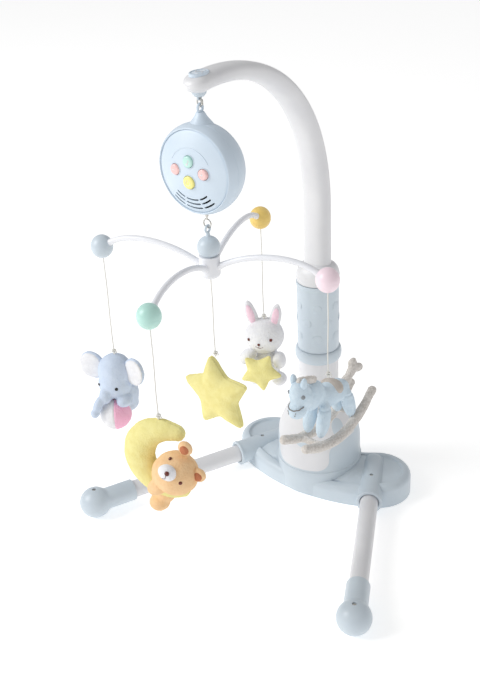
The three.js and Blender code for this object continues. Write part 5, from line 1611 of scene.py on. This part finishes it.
def pillow(outline: Sequence[tuple[float, float]], thick: float, crown: float, steps: int = 9) -> Shape:
    """Makes a stuffed flat form: an outline that swells towards its middle.

    Args:
        outline: Its (x, z) outline about the origin.
        thick: Its thickness at the middle.
        crown: The share of the size over which the swelling rises.
        steps: How many rings lie between the seam and the middle.

    Returns:
        The closed shape, upright, with its seam in the plane y = 0.
    """
    rings = []
    for i in range(-steps, steps + 1):
        t = i / steps
        share = max(0.02, 1 - abs(t) ** crown)
        bulge = thick / 2 * (1 - (1 - abs(t)) ** 2.4) * (1 if t > 0 else -1)
        rings.append([Vector((x * share, bulge, z * share)) for x, z in outline])
    return loft(rings)


@dataclass
class Toy:
    """What the five stuffed toys share: sewing, seams, eyes and stitched thread."""

    hang: Hanging
    voxel: float = 1.5

    def sew(self, name: str, shapes: Iterable[Shape], finish: Finish, stands_for: Sequence[str] = (),
            seams: Sequence[Seam] = (), soften: int = 6, fill: float = 0.6,
            lump: float = 0.6, pile: float = 0.32, grow: float = 0.0) -> bpy.types.Object:
        """Joins shapes into one stuffed cover, softens it, pulls in its seams and raises its pile.

        Args:
            name: The object's name.
            shapes: The closed shapes it is stuffed from, in the toy's own sizes.
            finish: Its cloth.
            stands_for: CAD nodes that it is shown in place of.
            seams: Its sewn lines.
            soften: How many passes of smoothing it gets.
            fill: Not used.
            lump: Height of the soft lumps of the stuffing.
            pile: Height of the cloth's pile.
            grow: How far the cover stands out from the stuffing.

        Returns:
            The object.
        """
        whole = Shape()
        for shape in shapes:
            whole.add(shape)
        piece = raw_object(name, whole.moved(self.hang.local))
        change = piece.modifiers.new("skin", "REMESH")
        change.mode, change.voxel_size = "VOXEL", self.voxel * MM
        settle(piece)
        change = piece.modifiers.new("soften", "SMOOTH")
        change.factor, change.iterations = 0.5, soften
        settle(piece)
        change = piece.modifiers.new("finer", "SUBSURF")
        change.levels = change.render_levels = 1
        settle(piece)
        self.sculpt(piece, seams, lump, pile, grow)
        dress(piece, self.hang.body, finish, stands_for, None)
        return piece

    def sculpt(self, piece: bpy.types.Object, seams: Sequence[Seam], lump: float, pile: float,
               grow: float) -> None:
        """Moves every point along its normal: stuffing lumps, pile and sewn grooves."""
        mesh = piece.data
        back = self.hang.local.inverted()
        normals = [n.vector.copy() for n in mesh.vertex_normals]
        lines = [(Vector(s.through), Vector(s.normal).normalized(), s) for s in seams]
        for vertex, normal in zip(mesh.vertices, normals):
            at = back @ (vertex.co / MM)
            move = grow + lump * noise.noise(at * 0.075)
            nap = pile * noise.noise(at * 0.55) + pile * 0.8 * noise.noise(at * 1.3)
            held = 1.0
            for through, across, seam in lines:
                if (at - through).length > seam.reach:
                    continue
                away = abs((at - through).dot(across))
                if away < seam.width * 5:
                    pull = math.exp(-((away / seam.width) ** 2))
                    puff = 0.28 * math.exp(-(((away - seam.width * 2.6) / (seam.width * 1.3)) ** 2))
                    move -= seam.depth * pull - seam.depth * puff
                    held = min(held, 1 - pull)
            vertex.co += normal * (move + nap * held) * MM
        mesh.update()

    def on_cover(self, piece: bpy.types.Object, near: Point) -> tuple[Vector, Vector]:
        """Returns the cover's nearest point and its outward direction, both in millimetres."""
        world = self.hang.local @ Vector(near)
        _found, at, normal, _face = piece.closest_point_on_mesh(world * MM)
        return at / MM, normal

    def eye(self, name: str, piece: bpy.types.Object, near: Point, radius: float, finish: Finish,
            flat: float = 0.55) -> bpy.types.Object:
        """Sets a bead eye into the cover."""
        at, normal = self.on_cover(piece, near)
        bead = [(radius * math.cos(a), radius * flat * math.sin(a))
                for a in (lerp(-math.pi / 2, math.pi / 2, i / 14) for i in range(15))]
        bead = [(0 if i in (0, 14) else r, z) for i, (r, z) in enumerate(bead)]
        place = turned_to(normal, at + normal * radius * 0.12)
        return make(name, revolve(bead, 28).moved(place), self.hang.body, finish, angle=None)

    def thread(self, name: str, piece: bpy.types.Object, points: Sequence[Point], finish: Finish,
               thick: float = 0.55, length: float = 2.6, gap: float = 2.4) -> None:
        """Stitches a line of thread onto the cover through these points."""
        path = []
        for p in spline(points, 10):
            at, normal = self.on_cover(piece, p)
            path.append(at + normal * thick * 0.35)
        stitches(name, path, length, gap, thick, finish, self.hang.body)


@dataclass
class Elephant(Toy):
    """The elephant that hugs a two-coloured ball."""

    ball: Point = (4, -18, -90)
    ball_radius: float = 25.0

    def build(self) -> None:
        """Makes the elephant, its ears' linings, its ball and its face."""
        body = [Egg((26, 25, 28), (0, -2, -28.2)), Egg((23, 20, 30), (4, 8, -68)),
                Egg((25, 23, 25), (1, -7, -44)), Egg((10, 12, 14), (-3, -26, -56), (-30, 0, 0)),
                Egg((7, 8, 15), (-9, -40, -68), (-24, 12, 0)), Egg((7, 7, 7), (-12, -46, -79)),
                Egg((11, 14, 10), (20, -14, -66)), Egg((11, 14, 9), (-14, -10, -70), (0, 20, 0)),
                Egg((10, 14, 11), (15, 8, -84)), Egg((10, 14, 11), (-12, 6, -84))]
        seams = [Seam((0, 12, -52), (0, 0.2, 1), 26, 0.8)]
        cover = self.sew("elephant_plush", [e.shape() for e in body], BLUE_PLUSH, ["elephant"], seams)
        for side, x, y, z, lean in ((-1, -38, -5, -24, -12), (1, 34, -3, -21, 12)):
            ear = Egg((20, 5.6, 23), (x, y, z), (0, lean, -lean))
            word = "left" if side < 0 else "right"
            self.sew(f"elephant_ear_{word}", [ear.shape()], BLUE_PLUSH,
                     seams=[Seam((x, y, z), (lean * 0.018, 1, 0), 60, 1.0, 1.0)], soften=2, fill=0.4)
            turned = Egg((18.2, 3.6, 21), (x + 0.6 * side, y - 3.3, z), (0, lean, -lean))
            self.sew(f"elephant_lining_{word}", [turned.shape()], WHITE_PLUSH, soften=1, fill=0.3)
        self.eye("elephant_eye_left", cover, (-14.5, -25, -42), 2.5, EYE)
        self.eye("elephant_eye_right", cover, (15.5, -25, -42.5), 2.5, EYE)
        self.held_ball()

    def held_ball(self) -> None:
        """Makes the ball: white and pink panels sewn edge to edge."""
        r = self.ball_radius - 1.2
        x, y, z = self.ball
        whole = Egg((r, r, r), self.ball)
        seams = [Seam(self.ball, (0.871, 0.491, 0), 60, 1.0, 0.9),
                 Seam(self.ball, (-0.491, 0.871, 0), 60, 1.0, 0.9)]
        cover = self.sew("elephant_ball_plush", [whole.shape()], WHITE_PLUSH, ["elephant_ball"], seams,
                         soften=2, fill=0.8)
        cover.data.materials.append(PINK_PLUSH.material())
        back = self.hang.local.inverted()
        first, second = Vector((0.871, 0.491, 0)), Vector((-0.491, 0.871, 0))
        for face in cover.data.polygons:
            at = back @ (face.center / MM) - Vector((x, y, z))
            face.material_index = 1 if at.dot(first) * at.dot(second) < 0 else 0


@dataclass
class Bear(Toy):
    """The bear that sleeps over a crescent moon."""

    moon_radius: float = 59.0
    moon_middle: float = 21.5
    moon_end: float = 11.5
    moon_flat: float = 0.68
    moon_lobes: int = 31
    moon_span: tuple[float, float] = (66.0, 296.0)
    moon_place: Point = (5, 0, -58.5)

    def moon(self) -> None:
        """Makes the crescent, which is fat in its middle and blunt at its ends."""
        shapes = []
        for i in range(self.moon_lobes):
            t = i / (self.moon_lobes - 1)
            a = math.radians(lerp(*self.moon_span, t))
            r = lerp(self.moon_end, self.moon_middle, math.sin(math.pi * t) ** 0.8)
            reach = self.moon_radius - r
            place = Vector(self.moon_place) + Vector((reach * math.cos(a), 0, reach * math.sin(a)))
            shapes.append(Egg((r, r * self.moon_flat, r), tuple(place)).shape())
        self.sew("moon_plush", shapes, LEMON_PLUSH, ["moon"],
                 [Seam(self.moon_place, (0, 1, 0), 90, 1.2, 1.0)], soften=4, fill=0.8)

    def build(self) -> None:
        """Makes the moon, the bear, its muzzle, ears and face."""
        self.moon()
        body = [Egg((30, 27, 29), (31, -22, -60)), Egg((22, 20, 26), (14, -12, -72)),
                Egg((11, 10, 19), (3, -21, -88), (0, 50, 0)), Egg((20, 15, 24), (2, 12, -92), (0, 20, 0)),
                Egg((14, 13, 16), (-4, 8, -118), (0, 10, 0)), Egg((14, 14, 12), (-12, 4, -134))]
        seams = [Seam((14, -14, -84), (0.3, 0, 1), 18, 1.0)]
        cover = self.sew("bear_plush", [e.shape() for e in body], TAN_PLUSH, ["bear"], seams)
        for word, x, z in (("upper", 46, -21), ("lower", 62, -57)):
            self.sew(f"bear_ear_{word}", [Egg((10, 6, 10), (x, -20, z)).shape()], TAN_PLUSH,
                     soften=2, fill=0.5)
            self.sew(f"bear_ear_lining_{word}",
                     [Egg((6.6, 3.4, 6.6), (x + 0.4, -24.4, z)).shape()], RUST_PLUSH,
                     soften=1, fill=0.3)
        muzzle = Egg((12.5, 9, 12), (31, -43, -46), (12, 10, 0))
        snout = self.sew("bear_muzzle", [muzzle.shape()], WHITE_PLUSH, soften=2, fill=0.6)
        self.eye("bear_nose", snout, (35, -51, -41), 3.2, BROWN_EYE, 0.7)
        self.thread("bear_mouth", snout, [(33, -52, -45), (31, -52, -50), (27, -50, -51)], BROWN_THREAD, 0.45)
        self.eye("bear_eye_left", cover, (29, -32, -31), 2.4, BROWN_EYE)
        self.eye("bear_eye_right", cover, (48, -43, -57), 2.4, BROWN_EYE)
        self.sew("bear_paw", [Egg((10, 9, 12), (-40, 9, -62), (0, 15, 0)).shape()], TAN_PLUSH, soften=1,
                 fill=0.6)


def star_outline(outer: float, inner: float, turn: float) -> list[tuple[float, float]]:
    """Returns a five-pointed star's ten corners, turned by this many degrees."""
    out = []
    for i in range(10):
        a = math.radians(90 + turn + 36 * i)
        r = inner if i % 2 else outer
        out.append((r * math.cos(a), r * math.sin(a)))
    return out


@dataclass
class Rabbit(Toy):
    """The rabbit that holds a small star."""

    star: Point = (-3, -35, -73)

    def build(self) -> None:
        """Makes the rabbit, its ears' linings, its star and its face."""
        body = [Egg((30, 27, 28), (0, 0, -28.2)), Egg((22, 19, 27), (2, 2, -76)),
                Egg((11, 14, 10), (-15, -8, -98)), Egg((12, 14, 10), (22, -8, -99)),
                Egg((9, 6, 25), (-19, 2, 5), (0, -16, 0)), Egg((9, 6, 25), (17, 2, 0), (0, 10, 0))]
        seams = [Seam((0, 0, -54), (0, 0, 1), 32, 1.0)]
        cover = self.sew("rabbit_plush", [e.shape() for e in body], WHITE_PLUSH, ["rabbit"], seams)
        arms = [Egg((11, 10, 16), (-25, -14, -58), (0, 50, 0)), Egg((10, 12, 14), (24, -16, -62))]
        for word, arm in zip(("left", "right"), arms):
            self.sew(f"rabbit_arm_{word}", [arm.shape()], WHITE_PLUSH, soften=2, fill=0.6)
        for word, egg in (("left", Egg((5.8, 2.6, 18), (-19.5, -3.2, 7), (0, -16, 0))),
                          ("right", Egg((5.8, 2.6, 18), (17.4, -3.2, 3), (0, 10, 0)))):
            self.sew(f"rabbit_ear_lining_{word}", [egg.shape()], ROSE_PLUSH, soften=1, fill=0.3)
        self.eye("rabbit_eye_left", cover, (-20, -17, -27), 2.5, BROWN_EYE)
        self.eye("rabbit_eye_right", cover, (13, -24, -24), 2.5, BROWN_EYE)
        self.eye("rabbit_nose", cover, (-5, -26, -31), 2.2, BROWN_EYE, 0.7)
        self.thread("rabbit_mouth", cover, [(-5, -26, -33), (-5, -26, -36)], BROWN_THREAD, 0.4)
        self.thread("rabbit_smile", cover, [(-10, -25, -36), (-5, -26, -38.5), (0, -26, -36)],
                    BROWN_THREAD, 0.4)
        outline = rounded(star_outline(35, 20, -28), 4)
        shape = pillow(outline, 15, 1.5).moved(Matrix.Translation(self.star))
        self.sew("rabbit_star_plush", [shape], LEMON_PLUSH, ["rabbit_star"],
                 [Seam(self.star, (0, 1, 0), 60, 0.9, 0.9)], soften=3, fill=0.8)


@dataclass
class RockingHorse(Toy):
    """The rocking horse on its fleece-covered rockers."""

    runner_radius: float = 7.0
    runner_offset: float = 18.0

    def build(self) -> None:
        """Makes the horse, its mane, saddle, bridle, tail and rockers."""
        legs = [Egg((9, 10, 26), (side * 11, y * 0.9, -50), (16 if y > 0 else -16, 0, 0))
                for side, y in ((-1, -28), (1, -28), (-1, 34), (1, 34))]
        body = [Egg((16, 36, 17), (0, 6, -26), (-8, 0, 0)), Egg((13, 21, 20), (0, -34, -11), (35, 0, 0)),
                Egg((14, 16, 25), (0, -58, -1), (20, 0, 0)), Egg((12, 13, 13), (0, -66, -17)), *legs]
        seams = [Seam((side * 11, y, -34), (0, 0, 1), 14, 0.9) for side in (-1, 1) for y in (-26, 31)]
        cover = self.sew("horse_plush", [e.shape() for e in body], ICE_PLUSH, ["rocking_horse"], seams)
        for word, side in (("left", -1), ("right", 1)):
            ear = Egg((4.2, 5, 10), (side * 8, -62, 21), (0, side * 10, 0))
            self.sew(f"horse_ear_{word}", [ear.shape()], ICE_PLUSH, soften=1, fill=0.5)
            self.eye(f"horse_eye_{word}", cover, (side * 13, -69, 6), 2.7, GREY_EYE)
            self.thread(f"horse_nostril_{word}", cover, [(side * 7, -79, -16), (side * 6, -79, -20)],
                        GREY_THREAD, 0.6)
        mane = [Egg((4.6, 6, 5.5), (0, lerp(-60, -32, i / 4), lerp(22, 11, (i / 4) ** 1.3)))
                for i in range(5)]
        self.sew("horse_mane", [m.shape() for m in mane], SHERPA, soften=3, fill=0.6, lump=1.2)
        self.sew("horse_tail", [Egg((6.5, 12, 7), (0, 40, -23), (25, 0, 0)).shape(),
                                Egg((6, 11, 6), (0, 51, -15), (35, 0, 0)).shape(),
                                Egg((5.5, 9, 6), (-3, 58, -6), (50, 0, 0)).shape(),
                                Egg((5.5, 9, 6), (3, 63, -13), (-10, 0, 0)).shape()], SHERPA, soften=3,
                 fill=0.6, lump=1.2)
        saddle = Egg((17.2, 12, 11), (0, 8, -18), (-8, 0, 0))
        self.sew("horse_saddle", [saddle.shape()], STONE_PLUSH, seams=[Seam((0, 6, -30), (0, 0, 1), 60, 0.7)],
                 soften=3, fill=0.5)
        nose = [(-13, -66, -10), (-8, -76, -11), (0, -80, -12), (8, -77, -11), (13, -67, -9)]
        self.band("horse_bridle_nose", cover, nose)
        self.rockers()

    def band(self, name: str, cover: bpy.types.Object, points: Sequence[Point]) -> None:
        """Sews a narrow corded strap onto the head through these points."""
        path = []
        for near in spline(points, 8):
            at, normal = self.on_cover(cover, tuple(near))
            path.append(at + normal * 0.45)
        make(name, sweep(path, 0.75, 10), self.hang.body, GREY_THREAD, angle=None)

    def rockers(self) -> None:
        """Makes the two runners and the two cross bars."""
        shapes = []
        for side in (-1, 1):
            x = side * self.runner_offset
            line = spline([(x, -72, -68), (x, -38, -82), (x, 4, -87), (x, 44, -74), (x, 76, -50)], 12)
            shapes.append(sweep(
                line, lambda t: self.runner_radius * (0.86 + 0.14 * math.sin(math.pi * t)), 20))
            shapes += [Egg((6.2, 6.2, 6.2), tuple(tip)).shape() for tip in (line[0], line[-1])]
        for y, z in ((-38, -82), (44, -74)):
            shapes.append(sweep([Vector((lerp(-18, 18, i / 8), y, z)) for i in range(9)], 4.8, 16))
        self.sew("rockers_fleece", shapes, SHERPA, ["rockers"], soften=3, fill=0.7, lump=0.8, pile=0.5)


@dataclass
class BigStar(Toy):
    """The large star under the hub."""

    outer: float = 62.5
    inner: float = 34.5
    thick: float = 30.0
    turn: float = 9.0
    drop: float = 60.2

    def build(self) -> None:
        """Makes the star with a sewn rim."""
        centre = (0.0, 0.0, -self.drop)
        outline = rounded(star_outline(self.outer, self.inner, self.turn), 7)
        shape = pillow(outline, self.thick, 1.55).moved(Matrix.Translation(centre))
        self.sew("star_plush", [shape], LEMON_PLUSH, ["star"],
                 [Seam(centre, (0, 1, 0), 90, 1.3, 1.0)], soften=6, fill=0.8)


# ------------------------------------------------------------------ the whole


def carry_over() -> None:
    """Gives every CAD node that is still shown the finish of its slot."""
    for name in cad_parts:
        piece = bpy.data.objects.get(name)
        if piece is None or not piece.data.materials:
            continue
        for index, old in enumerate(piece.data.materials):
            key = old.name.split(".")[0] if old else ""
            finish = CARRIED.get(key)
            if finish is None:
                log.info("%s has the unknown slot %s", name, key)
                continue
            piece.material_slots[index].material = finish.material()


def main() -> None:
    """Builds the camera, the strings, and then every other part in order."""
    logging.basicConfig(level=logging.INFO, format="%(message)s")
    Studio().build()
    for hang in HANGINGS.values():
        hang.build()
    Base().build()
    Post().build()
    Arm().build()
    MusicBox().build()
    Hanger().build()
    Elephant(HANGINGS["elephant"]).build()
    Bear(HANGINGS["bear"]).build()
    Rabbit(HANGINGS["rabbit"]).build()
    RockingHorse(HANGINGS["horse"]).build()
    BigStar(HANGINGS["star"]).build()
    carry_over()


if __name__ == "__main__":
    main()
